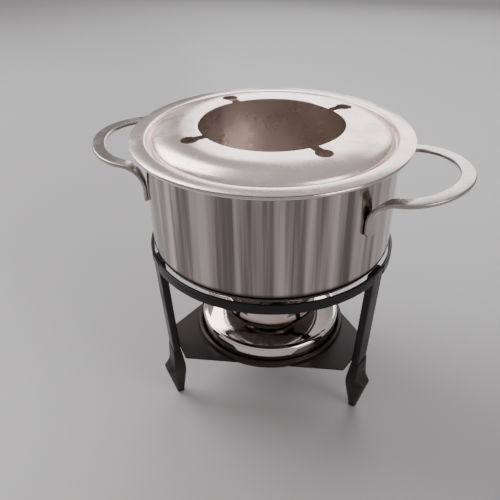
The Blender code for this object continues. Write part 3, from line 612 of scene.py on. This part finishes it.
def strap_path():
    """Half of the strap's middle line: centre, direction across and width of each station."""
    tab_r = POT_RADIUS + TOUCH_GAP + STRAP_THICKNESS / 2
    tab_angle = math.asin(HANDLE_SPREAD / tab_r)
    tangent = Vector((-math.sin(tab_angle), math.cos(tab_angle), 0.0))
    tab_x = tab_r * math.cos(tab_angle)
    bend_bottom_z = HANDLE_HEIGHT_Z - TAB_BEND_RADIUS
    stations = []
    end_round = 3.4 * MM
    for index in range(6):
        share = index / 5
        height = TAB_BOTTOM_Z + end_round * share
        narrow = math.sqrt(1 - (1 - share) ** 2 * 0.82)
        stations.append((Vector((tab_x, HANDLE_SPREAD, height)), tangent, STRAP_WIDTH * narrow))
    stations.append((Vector((tab_x, HANDLE_SPREAD, bend_bottom_z)), tangent, STRAP_WIDTH))
    bend_steps = 14
    for index in range(1, bend_steps + 1):
        share = index / bend_steps
        angle = math.radians(90.0) * share
        twist = tab_angle * (1 - share ** 2)
        x = tab_x + TAB_BEND_RADIUS * (1 - math.cos(angle))
        z = bend_bottom_z + TAB_BEND_RADIUS * math.sin(angle)
        across = Vector((-math.sin(twist), math.cos(twist), 0.0))
        stations.append((Vector((x, HANDLE_SPREAD, z)), across, STRAP_WIDTH))
    rise_x = tab_x + TAB_BEND_RADIUS
    nose_length = HANDLE_REACH - STRAP_WIDTH / 2 - LOOP_START
    loop_steps = 36
    for index in range(loop_steps + 1):
        angle = math.radians(90.0 * (1 - index / loop_steps))
        x = LOOP_START + nose_length * math.cos(angle) ** LOOP_POWER
        y = HANDLE_SPREAD * math.sin(angle) ** LOOP_POWER
        z = HANDLE_HEIGHT_Z + HANDLE_RISE * (x - rise_x)
        across = Vector((HANDLE_SPREAD * math.cos(angle), nose_length * math.sin(angle), 0.0))
        stations.append((Vector((x, y, z)), across.normalized(), STRAP_WIDTH))
    return stations


def make_handle(side, degrees):
    half = strap_path()
    mirrored = [(Vector((p.x, -p.y, p.z)), Vector((a.x, -a.y, 0.0)), w) for p, a, w in half[:-1]]
    stations = half + mirrored[::-1]
    rings = []
    for index, (place, across, width) in enumerate(stations):
        before = stations[max(index - 1, 0)][0]
        after = stations[min(index + 1, len(stations) - 1)][0]
        normal = (after - before).normalized().cross(across).normalized()
        rings.append(strap_section(place, across, normal, width))
    strap = loft(f"handle_strap_{side}", rings)
    turn_mesh(strap, POT_TURN_DEG + degrees)
    return piece(strap, f"handle_{side}", "pot", HANDLE_STEEL)


# ---------------------------------------------------------------- the fork guard
def make_guard():
    """Pressed guard. Its crown falls ever more steeply into the gutter inside the pot's mouth."""
    gutter_width = GUTTER_OUTER_RADIUS - GUARD_SHEET - GUTTER_INNER_RADIUS
    corner = gutter_width / 2
    points = [(GUARD_MOUTH_RADIUS, GUARD_CROWN_Z - 0.5 * MM),
              (GUARD_MOUTH_RADIUS + 0.35 * MM, GUARD_CROWN_Z - 0.1 * MM)]
    for index in range(5):
        r = GUARD_MOUTH_RADIUS + (GUARD_FLAT_RADIUS - GUARD_MOUTH_RADIUS) * (index + 0.5) / 5
        points.append((r, GUARD_CROWN_Z))
    steps = 26
    fall = GUARD_CROWN_Z - GUARD_GUTTER_Z - corner
    for index in range(steps + 1):
        angle = math.radians(90.0 * index / steps)
        r = GUARD_FLAT_RADIUS + (GUTTER_INNER_RADIUS - GUARD_FLAT_RADIUS) * math.sin(angle)
        points.append((r, GUARD_CROWN_Z - fall * (1 - math.cos(angle))))
    points += arc(GUTTER_INNER_RADIUS + corner, GUARD_GUTTER_Z + corner, corner, 190, 350, 10)
    bend = GUARD_SHEET + 0.6 * MM
    rise_r = GUTTER_INNER_RADIUS + gutter_width
    points += arc(rise_r + bend, GUARD_FLANGE_Z - bend, bend, 180, 90, 8)
    points += [(GUARD_RADIUS - 0.3 * MM, GUARD_FLANGE_Z), (GUARD_RADIUS, GUARD_FLANGE_Z - 0.25 * MM)]
    guard = lathe("guard_pressing", both_sides(points, GUARD_SHEET), 288)
    for index in range(4):
        degrees = FORK_REST_TURN_DEG + 90.0 * index
        outline = arc(FORK_REST_PLACE, 0.0, FORK_REST_RADIUS, 180, 180 - 360, 40)[:-1]
        keyhole = [(x, y) for x, y in outline
                   if not (x < FORK_REST_PLACE and abs(y) < FORK_NECK_WIDTH / 2)]
        half = FORK_NECK_WIDTH / 2
        keyhole = sorted(keyhole, key=lambda p: math.atan2(p[1], p[0] - FORK_REST_PLACE))
        inner = GUARD_MOUTH_RADIUS - 4 * MM
        upper = [p for p in keyhole if p[1] >= 0]
        lower = [p for p in keyhole if p[1] < 0]
        outline = lower + upper + [(inner, half), (inner, -half)]
        rings = [[(*turned((x, y, 0.0), degrees).xy, z) for x, y in outline]
                 for z in (GUARD_CROWN_Z - 6 * MM, GUARD_CROWN_Z + 4 * MM)]
        combine(guard, loft("keyhole", rings), "DIFFERENCE")
    return piece(guard, "fork_guard", "guard", GUARD_STEEL, 40.0)


# ---------------------------------------------------------------- the stand
def leg_outer_radius(height):
    return LEG_TOP_RADIUS - LEG_LEAN * (RING_TOP_Z - height)


def make_ring():
    ease = 0.55 * MM
    points = arc(RING_INNER_RADIUS + ease, RING_TOP_Z - ease, ease, 180, 90, 4)
    points += arc(RING_OUTER_RADIUS - ease, RING_TOP_Z - ease, ease, 90, 0, 4)
    points += arc(RING_OUTER_RADIUS - ease, RING_BOTTOM_Z + ease, ease, 0, -90, 4)
    points += arc(RING_INNER_RADIUS + ease, RING_BOTTOM_Z + ease, ease, -90, -180, 4)
    ring = lathe("ring_band", points, 288)
    half = LEG_WIDTH / 2 + TOUCH_GAP
    for degrees in LEG_ANGLES_DEG.values():
        notch = box("notch", (RING_NOTCH_FLOOR, -half, RING_BOTTOM_Z - 2 * MM),
                    (RING_OUTER_RADIUS + 2 * MM, half, RING_TOP_Z + 2 * MM))
        turn_mesh(notch, degrees)
        combine(ring, notch, "DIFFERENCE")
    return piece(ring, "stand_ring", "stand", STAND_PAINT)


def leg_section(height, inset, radius):
    outer = leg_outer_radius(height) - inset
    inner = leg_outer_radius(height) - LEG_THICKNESS + inset
    half = LEG_WIDTH / 2 - inset
    corners = [(outer, -half), (outer, half), (inner, half), (inner, -half)]
    return [(x, y, height) for x, y in rounded(corners, radius, 6)]


def make_leg(side, ring_slot, pot_seat):
    """Flat bar with well rounded edges, slotted for the ring and cut to the pot's corner."""
    edge = 1.7 * MM
    end = 0.8 * MM
    rings = [leg_section(LEG_BOTTOM_Z, end, edge), leg_section(LEG_BOTTOM_Z + end, 0.0, edge)]
    rings += [leg_section(LEG_BOTTOM_Z + (RING_TOP_Z - LEG_BOTTOM_Z) * (i + 1) / 12, 0.0, edge)
              for i in range(11)]
    rings += [leg_section(RING_TOP_Z - 0.5 * MM, 0.0, edge), leg_section(RING_TOP_Z, 0.4 * MM, edge)]
    leg = loft(f"leg_bar_{side}", rings)
    turn_mesh(leg, LEG_ANGLES_DEG[side])
    combine(leg, ring_slot, "DIFFERENCE", keep=True)
    combine(leg, pot_seat, "DIFFERENCE", keep=True)
    return piece(leg, f"leg_{side}", "stand", STAND_PAINT)


def foot_section(height, inner, face, heel, width, heel_width, radius):
    half = width / 2
    heel_half = heel_width / 2
    corners = [(inner, -half), (face, -half), (heel, -heel_half),
               (heel, heel_half), (face, half), (inner, half)]
    return [(x, y, height) for x, y in rounded(corners, radius, 4)]


def make_foot(side):
    """Moulded foot: a close sleeve that swells to a pointed heel and runs down to a rounded tip."""
    knee_face = leg_outer_radius(FOOT_KNEE_Z) + FOOT_POCKET_GAP + FOOT_WALL
    inner = leg_outer_radius(LEG_BOTTOM_Z) - LEG_THICKNESS - FOOT_POCKET_GAP - FOOT_WALL
    width = LEG_WIDTH + 2 * (FOOT_POCKET_GAP + FOOT_WALL)
    heel = knee_face + FOOT_HEEL_REACH
    tip_inner = (inner + knee_face - FOOT_TIP_DEPTH) / 2
    tip_face = tip_inner + FOOT_TIP_DEPTH
    tip_heel = tip_face + FOOT_TIP_EASE
    top_face = leg_outer_radius(FOOT_TOP_Z) + SHOE_GAP + SHOE_LIP
    top_inner = leg_outer_radius(FOOT_TOP_Z) - LEG_THICKNESS - SHOE_GAP - SHOE_LIP
    top_width = LEG_WIDTH + 2 * (SHOE_GAP + SHOE_LIP)
    ease = FOOT_TIP_EASE
    tip = (tip_inner, tip_face, tip_heel, FOOT_TIP_WIDTH, FOOT_TIP_WIDTH / 2)
    middle = (inner, knee_face, heel, width, FOOT_HEEL_WIDTH)
    knee = (inner, knee_face, knee_face + FOOT_WALL / 2, width, FOOT_HEEL_WIDTH)
    top = (top_inner, top_face, top_face + SHOE_LIP / 3, top_width, FOOT_HEEL_WIDTH)

    def between(first, second, share):
        return [a + (b - a) * share for a, b in zip(first, second)]

    def shrunk(values, inset):
        a, b, c, w, h = values
        return (a + inset, b - inset, c - inset, w - 2 * inset, h)

    rings = []
    for share in (0.0, 0.3, 0.6, 0.85):
        inset = ease * (1 - math.sqrt(1 - (1 - share) ** 2))
        rings.append(foot_section(ease * share, *shrunk(tip, inset), 1.6 * MM))
    for share in (0.0, 0.2, 0.4, 0.6, 0.8, 0.94):
        height = ease + (FOOT_HEEL_Z - ease) * share
        rings.append(foot_section(height, *between(tip, middle, share), 2.0 * MM))
    rings.append(foot_section(FOOT_HEEL_Z, *shrunk(middle, 0.15 * MM), 2.0 * MM))
    for share in (0.1, 0.4, 0.7, 1.0):
        height = FOOT_HEEL_Z + (FOOT_KNEE_Z - FOOT_HEEL_Z) * share
        rings.append(foot_section(height, *between(middle, knee, share ** 0.85), 2.0 * MM))
    for share in (0.3, 0.6, 0.95):
        height = FOOT_KNEE_Z + (FOOT_TOP_Z - FOOT_KNEE_Z) * share
        rings.append(foot_section(height, *between(knee, top, share), 2.0 * MM))
    rings.append(foot_section(FOOT_TOP_Z, *shrunk(top, 0.1 * MM), 2.0 * MM))
    foot = loft(f"foot_shoe_{side}", rings)
    pocket_rings = []
    gap = SHOE_GAP
    for height in (LEG_BOTTOM_Z - FOOT_POCKET_GAP, FOOT_TOP_Z + 2 * MM):
        outer = leg_outer_radius(height) + gap
        back = outer - LEG_THICKNESS - 2 * gap
        half = LEG_WIDTH / 2 + gap
        corners = [(outer, -half), (outer, half), (back, half), (back, -half)]
        pocket_rings.append([(x, y, height) for x, y in rounded(corners, 1.7 * MM, 6)])
    combine(foot, loft("pocket", pocket_rings), "DIFFERENCE")
    turn_mesh(foot, LEG_ANGLES_DEG[side])
    return piece(foot, f"foot_{side}", "stand", FOOT_PLASTIC, 38.0)


def make_plate():
    """Triangular plate with a pressed recess whose rounded rim stands proud of it."""
    cut_radius = leg_outer_radius(PLATE_TOP_Z - PLATE_SHEET) - LEG_THICKNESS - TOUCH_GAP
    half_cut = (2 * PLATE_APOTHEM - cut_radius) * math.tan(math.radians(30))
    corners = []
    for degrees in sorted(LEG_ANGLES_DEG.values()):
        for side in (-1, 1):
            corners.append(tuple(turned((cut_radius, half_cut * side, 0.0), degrees).xy))
    outline = rounded(corners, 1.0 * MM, 3)
    ease = 0.3 * MM
    rings = []
    for height, inset in ((PLATE_TOP_Z - PLATE_SHEET, ease), (PLATE_TOP_Z - PLATE_SHEET + ease, 0.0),
                          (PLATE_TOP_Z - ease, 0.0), (PLATE_TOP_Z, ease)):
        scale = 1.0 - inset / PLATE_APOTHEM
        rings.append([(p.x * scale, p.y * scale, height) for p in outline])
    plate = loft("plate_pressing", rings)
    rim = RECESS_RIM_WIDTH / 2
    rim_outer = RECESS_RADIUS + RECESS_RIM_WIDTH
    dish_outer = RECESS_RADIUS + PLATE_SHEET
    floor_bottom = RECESS_FLOOR_Z - PLATE_SHEET
    hole = lathe("hole", [(0.0, PLATE_TOP_Z + CUT_PAST), (RECESS_RADIUS + rim, PLATE_TOP_Z + CUT_PAST),
                          (RECESS_RADIUS + rim, PLATE_TOP_Z - CUT_PAST), (0.0, PLATE_TOP_Z - CUT_PAST)],
                 192, closed=False)
    combine(plate, hole, "DIFFERENCE")
    points = [(0.0, RECESS_FLOOR_Z)]
    points += arc(RECESS_RADIUS - 1.2 * MM, RECESS_FLOOR_Z + 1.2 * MM, 1.2 * MM, -90, 0, 5)
    points += arc(RECESS_RADIUS + rim, PLATE_TOP_Z + RECESS_RIM_RISE - rim, rim, 180, 0, 16)
    points += arc(rim_outer - 0.5 * MM, PLATE_TOP_Z - PLATE_SHEET + 0.5 * MM, 0.5 * MM, 0, -90, 3)
    points += [(dish_outer, PLATE_TOP_Z - PLATE_SHEET)]
    points += arc(dish_outer - 2.0 * MM, floor_bottom + 2.0 * MM, 2.0 * MM, 0, -90, 5)
    points += [(0.0, floor_bottom)]
    combine(plate, lathe("dish", points, 192, closed=False), "UNION")
    return piece(plate, "burner_plate", "stand", PLATE_PAINT)


# ---------------------------------------------------------------- the burner
def make_housing():
    opening = CAN_RADIUS + CAN_FIT_GAP
    shoulder_r = BURNER_RADIUS - BURNER_SHOULDER_RADIUS
    shoulder_z = BURNER_SHOULDER_Z - BURNER_SHOULDER_RADIUS
    points = []
    steps = 18
    for index in range(steps + 1):
        t = index / steps
        points.append((opening + (shoulder_r - opening) * t,
                       BURNER_SHOULDER_Z + BURNER_DOME_RISE * (1 - t ** 1.6)))
    points += arc(shoulder_r, shoulder_z, BURNER_SHOULDER_RADIUS, 66, 0, 8)
    points += [(BURNER_RADIUS, BURNER_BOTTOM_Z + 0.3 * MM),
               (BURNER_RADIUS - 0.25 * MM, BURNER_BOTTOM_Z)]
    housing = lathe("housing_shell", both_sides(points, BURNER_SHEET), 256)
    return piece(housing, "burner_housing", "burner", BURNER_STEEL)


def make_base():
    radius = BURNER_RADIUS - BURNER_SHEET - TOUCH_GAP - 0.2 * MM
    top = BURNER_BOTTOM_Z + 1.0 * MM
    low = BURNER_BOTTOM_Z
    points = [(0.0, top), (radius - 0.3 * MM, top), (radius, top - 0.3 * MM),
              (radius, low + 0.3 * MM), (radius - 0.3 * MM, low), (0.0, low)]
    return piece(lathe("base_disc", points, 192, closed=False), "burner_base", "burner",
                 CAN_STEEL)


def make_can():
    floor = CAN_BOTTOM_Z + CAN_WALL
    corner = 1.7 * MM
    outer_corner = corner + CAN_WALL
    points = [(0.0, floor)]
    points += arc(CAN_INSIDE_RADIUS - corner, floor + corner, corner, -90, 0, 8)
    points += arc(CAN_RADIUS - CAN_WALL / 2, CAN_TOP_Z - CAN_WALL / 2, CAN_WALL / 2, 180, 0, 6)
    points += arc(CAN_RADIUS - outer_corner, CAN_BOTTOM_Z + outer_corner, outer_corner, 0, -90, 8)
    points += [(0.0, CAN_BOTTOM_Z)]
    return piece(lathe("can_cup", points, 192, closed=False), "fuel_can", "burner",
                 CAN_STEEL)


def make_wadding():
    """Absorbent pad with a matted, uneven top."""
    low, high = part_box("wadding")
    radius = high[0] - 0.4 * MM
    bottom = low[2] + 0.3 * MM
    top = high[2] - 0.5 * MM
    soft = 2.5 * MM
    points = [(0.0, top)]
    points += [(radius * index / 16, top) for index in range(1, 14)]
    points += arc(radius - soft, top - soft, soft, 80, 0, 6)
    points += arc(radius - soft, bottom + soft, soft, 0, -90, 6)
    points += [(0.0, bottom)]
    pad = lathe("wadding_pad", points, 96, closed=False)
    for vertex in pad.data.vertices:
        spot = vertex.co
        if spot.z > top - soft:
            spot.z += 0.45 * MM * noise.noise(spot * 300.0)
    return piece(pad, "wadding", "burner", WADDING_WOOL, 60.0)


def make_gauze():
    """Woven wire gauze: two sets of waved wires."""
    low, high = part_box("gauze")
    middle = (low[2] + high[2]) / 2
    reach = high[0] - 0.3 * MM
    pitch = 1.8 * MM
    wire = 0.13 * MM
    wave = 0.145 * MM
    count = int(reach / pitch)
    spots = []
    faces = []
    for direction in (0, 1):
        for line in range(-count, count + 1):
            offset = line * pitch
            half = math.sqrt(reach ** 2 - offset ** 2)
            steps = max(int(2 * half / (pitch / 2)), 2)
            start = len(spots)
            for step in range(steps + 1):
                along = -half + 2 * half * step / steps
                phase = math.pi * (along / pitch + line + direction)
                z = middle + wave * math.cos(phase)
                for side in range(WIRE_SIDES):
                    turn = 2 * math.pi * side / WIRE_SIDES
                    u = offset + wire * math.cos(turn)
                    w = z + wire * math.sin(turn)
                    spots.append((along, u, w) if direction == 0 else (u, along, w))
            for step in range(steps):
                row = start + step * WIRE_SIDES
                for side in range(WIRE_SIDES):
                    a = row + side
                    b = row + (side + 1) % WIRE_SIDES
                    faces.append((a, b, b + WIRE_SIDES, a + WIRE_SIDES))
            end = start + steps * WIRE_SIDES
            faces.append(tuple(range(start, start + WIRE_SIDES)))
            faces.append(tuple(reversed(range(end, end + WIRE_SIDES))))
    gauze = new_object("gauze_weave", mesh_of("gauze_weave", spots, faces))
    return piece(gauze, "gauze", "burner", GAUZE_WIRE, 80.0)


def make_gauze_ring():
    wire = 0.8 * MM
    low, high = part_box("gauze_ring")
    points = arc(high[0] - wire, (low[2] + high[2]) / 2, wire, 0, -360, 16)[:-1]
    return piece(lathe("gauze_spring", points, 160), "gauze_ring", "burner", GAUZE_WIRE)


def cut_ports(item):
    low = COVER_TOP_Z - CUT_PAST
    high = COVER_TOP_Z + CUT_PAST
    circle = arc(PORT_PLACE, 0.0, PORT_RADIUS, 0, 360, 40)[:-1]
    for index in range(PORT_COUNT):
        degrees = 360.0 * (index + 0.5) / PORT_COUNT + LEVER_ANGLE_DEG
        rings = [[(*turned((x, y, 0.0), degrees).xy, z) for x, y in circle] for z in (low, high)]
        combine(item, loft("port", rings), "DIFFERENCE")


def make_cover():
    lip_r = FLAME_OPENING_RADIUS + 2.2 * MM
    corner = 1.5 * MM
    points = [(lip_r, COLLAR_LIP_Z)]
    points += arc(FLAME_OPENING_RADIUS + 0.5 * MM, COLLAR_LIP_Z - 0.5 * MM, 0.5 * MM, 90, 180, 4)
    points.append((FLAME_OPENING_RADIUS, COVER_TOP_Z))
    points += arc(COVER_RADIUS - corner, COVER_TOP_Z - corner, corner, 90, 0, 8)
    points.append((COVER_RADIUS, COVER_TOP_Z - 11 * MM))
    profile = both_sides(points, COVER_SHEET)
    cover = lathe("cover_cap", profile, 192)
    cut_ports(cover)
    return piece(cover, "burner_cover", "cover", BURNER_STEEL, 40.0)


def make_regulator():
    inner = FLAME_OPENING_RADIUS + 0.3 * MM
    ease = 0.2 * MM
    points = [(inner, REGULATOR_TOP_Z), (REGULATOR_RADIUS - ease, REGULATOR_TOP_Z),
              (REGULATOR_RADIUS, REGULATOR_TOP_Z - ease), (REGULATOR_RADIUS, REGULATOR_BOTTOM_Z + ease),
              (REGULATOR_RADIUS - ease, REGULATOR_BOTTOM_Z), (inner, REGULATOR_BOTTOM_Z)]
    disc = lathe("regulator_plate", points, 192)
    end = REGULATOR_RADIUS + LEVER_LENGTH
    half = LEVER_WIDTH / 2
    root = PORT_PLACE + PORT_RADIUS + 0.5 * MM
    corners = [(root, -half), (end, -half), (end, half), (root, half)]
    outline = rounded(corners, 2.6 * MM, 8)
    rings = [[turned((p.x, p.y, z), LEVER_ANGLE_DEG) for p in outline]
             for z in (REGULATOR_BOTTOM_Z, REGULATOR_TOP_Z)]
    combine(disc, loft("lever", rings), "UNION")
    cut_ports(disc)
    return piece(disc, "regulator_disc", "regulator", BURNER_STEEL, 40.0)


def make_knob():
    """Small ribbed knob with a domed top."""
    bottom = REGULATOR_TOP_Z + TOUCH_GAP
    dome_z = bottom + 0.6 * KNOB_HEIGHT
    rise = KNOB_HEIGHT - (dome_z - bottom)
    points = [(0.0, dome_z + rise)]
    for index in range(1, 11):
        angle = math.radians(90 - 9 * index)
        points.append((KNOB_RADIUS * math.cos(angle), dome_z + rise * math.sin(angle)))
    points += [(KNOB_RADIUS * 0.93, dome_z - 0.7 * MM), (KNOB_RADIUS * 0.72, bottom + 1.2 * MM),
               (KNOB_RADIUS * 0.70, bottom), (0.0, bottom)]
    knob = lathe("knob_cap", points, 72, closed=False)
    for vertex in knob.data.vertices:
        reach = math.hypot(vertex.co.x, vertex.co.y)
        if reach > 0.85 * KNOB_RADIUS:
            rib = 0.98 + 0.02 * math.cos(12 * math.atan2(vertex.co.y, vertex.co.x))
            vertex.co.x *= rib
            vertex.co.y *= rib
    place = turned((REGULATOR_RADIUS + LEVER_LENGTH - KNOB_RADIUS, 0.0, 0.0), LEVER_ANGLE_DEG)
    knob.data.transform(Matrix.Translation(place))
    return piece(knob, "regulator_knob", "regulator", FOOT_PLASTIC, 50.0)


# ---------------------------------------------------------------- camera, floor and light
def make_camera():
    data = bpy.data.cameras.new("camera")
    data.lens = CAMERA_LENS
    data.sensor_width = 36.0
    data.clip_start = 0.01
    camera = bpy.data.objects.new("camera", data)
    axes = Matrix((CAMERA_RIGHT, CAMERA_UP, -CAMERA_FORWARD)).transposed()
    camera.matrix_world = Matrix.Translation(CAMERA_PLACE) @ axes.to_4x4()
    COLLECTION.objects.link(camera)
    bpy.context.scene.camera = camera


def make_floor():
    mesh = bpy.data.meshes.new("floor")
    shape = bmesh.new()
    bmesh.ops.create_grid(shape, x_segments=1, y_segments=1, size=3.0)
    shape.to_mesh(mesh)
    shape.free()
    floor = new_object("floor", mesh)
    paint = Paint("floor_grey", 0.0, 0.42)
    paint.shader.inputs["Base Color"].default_value = (0.46, 0.45, 0.455, 1.0)
    mesh.materials.append(paint.material)


def area_light(name, place, target, size, power, colour=(1.0, 1.0, 1.0)):
    data = bpy.data.lights.new(name, "AREA")
    data.shape = "RECTANGLE"
    data.size, data.size_y = size
    data.energy = power
    data.color = colour
    light = bpy.data.objects.new(name, data)
    direction = Vector(target) - Vector(place)
    light.rotation_euler = direction.to_track_quat("-Z", "Y").to_euler()
    light.location = place
    COLLECTION.objects.link(light)


def make_world():
    """Pale studio surroundings, darker low down."""
    world = bpy.data.worlds.new("world")
    bpy.context.scene.world = world
    world.use_nodes = True
    tree = world.node_tree
    background = tree.nodes["Background"]
    place = tree.nodes.new("ShaderNodeTexCoord")
    split = tree.nodes.new("ShaderNodeSeparateXYZ")
    ramp = tree.nodes.new("ShaderNodeValToRGB")
    tree.links.new(place.outputs["Generated"], split.inputs[0])
    tree.links.new(split.outputs["Z"], ramp.inputs[0])
    elements = ramp.color_ramp.elements
    elements[0].position = 0.0
    elements[0].color = (0.34, 0.33, 0.33, 1.0)
    elements[1].position = 0.75
    elements[1].color = (0.62, 0.60, 0.60, 1.0)
    tree.links.new(ramp.outputs["Color"], background.inputs["Color"])
    background.inputs["Strength"].default_value = 0.8


make_camera()
make_floor()
area_light("window", (-1.1, 0.5, 1.2), (0, 0, 0.15), (1.0, 1.2), 22, (1.0, 0.985, 0.97))
area_light("soft_fill", (1.2, -0.7, 1.0), (0, 0, 0.15), (0.7, 0.9), 7, (1.0, 0.96, 0.94))
area_light("back_wall", (0.3, 1.6, 0.8), (0, 0, 0.2), (1.6, 0.9), 13)
make_world()

make_pot()
make_handle("right", 0.0)
make_handle("left", 180.0)
make_guard()

make_ring()
slot_profile = [(RING_INNER_RADIUS - TOUCH_GAP, RING_BOTTOM_Z - TOUCH_GAP),
                (RING_INNER_RADIUS - TOUCH_GAP, RING_TOP_Z + CUT_PAST),
                (RING_NOTCH_FLOOR + TOUCH_GAP, RING_TOP_Z + CUT_PAST),
                (RING_NOTCH_FLOOR + TOUCH_GAP, RING_BOTTOM_Z - TOUCH_GAP)]
ring_slot = lathe("ring_slot", slot_profile, 288)
seat_radius = POT_CORNER_RADIUS + POT_SEAT_GAP
seat_profile = [(0.0, POT_CORNER_TOP_Z - seat_radius)]
seat_profile += arc(POT_RADIUS - POT_CORNER_RADIUS, POT_CORNER_TOP_Z, seat_radius, -90, 0, 24)
seat_profile += [(POT_RADIUS + POT_SEAT_GAP, SEAT_CUT_TOP_Z), (0.0, SEAT_CUT_TOP_Z)]
pot_seat = lathe("pot_seat", seat_profile, 288, closed=False)
for leg_side in LEG_ANGLES_DEG:
    make_leg(leg_side, ring_slot, pot_seat)
    make_foot(leg_side)
bpy.data.objects.remove(ring_slot, do_unlink=True)
bpy.data.objects.remove(pot_seat, do_unlink=True)
make_plate()

make_housing()
make_base()
make_can()
make_wadding()
make_gauze()
make_gauze_ring()
make_cover()
make_regulator()
make_knob()
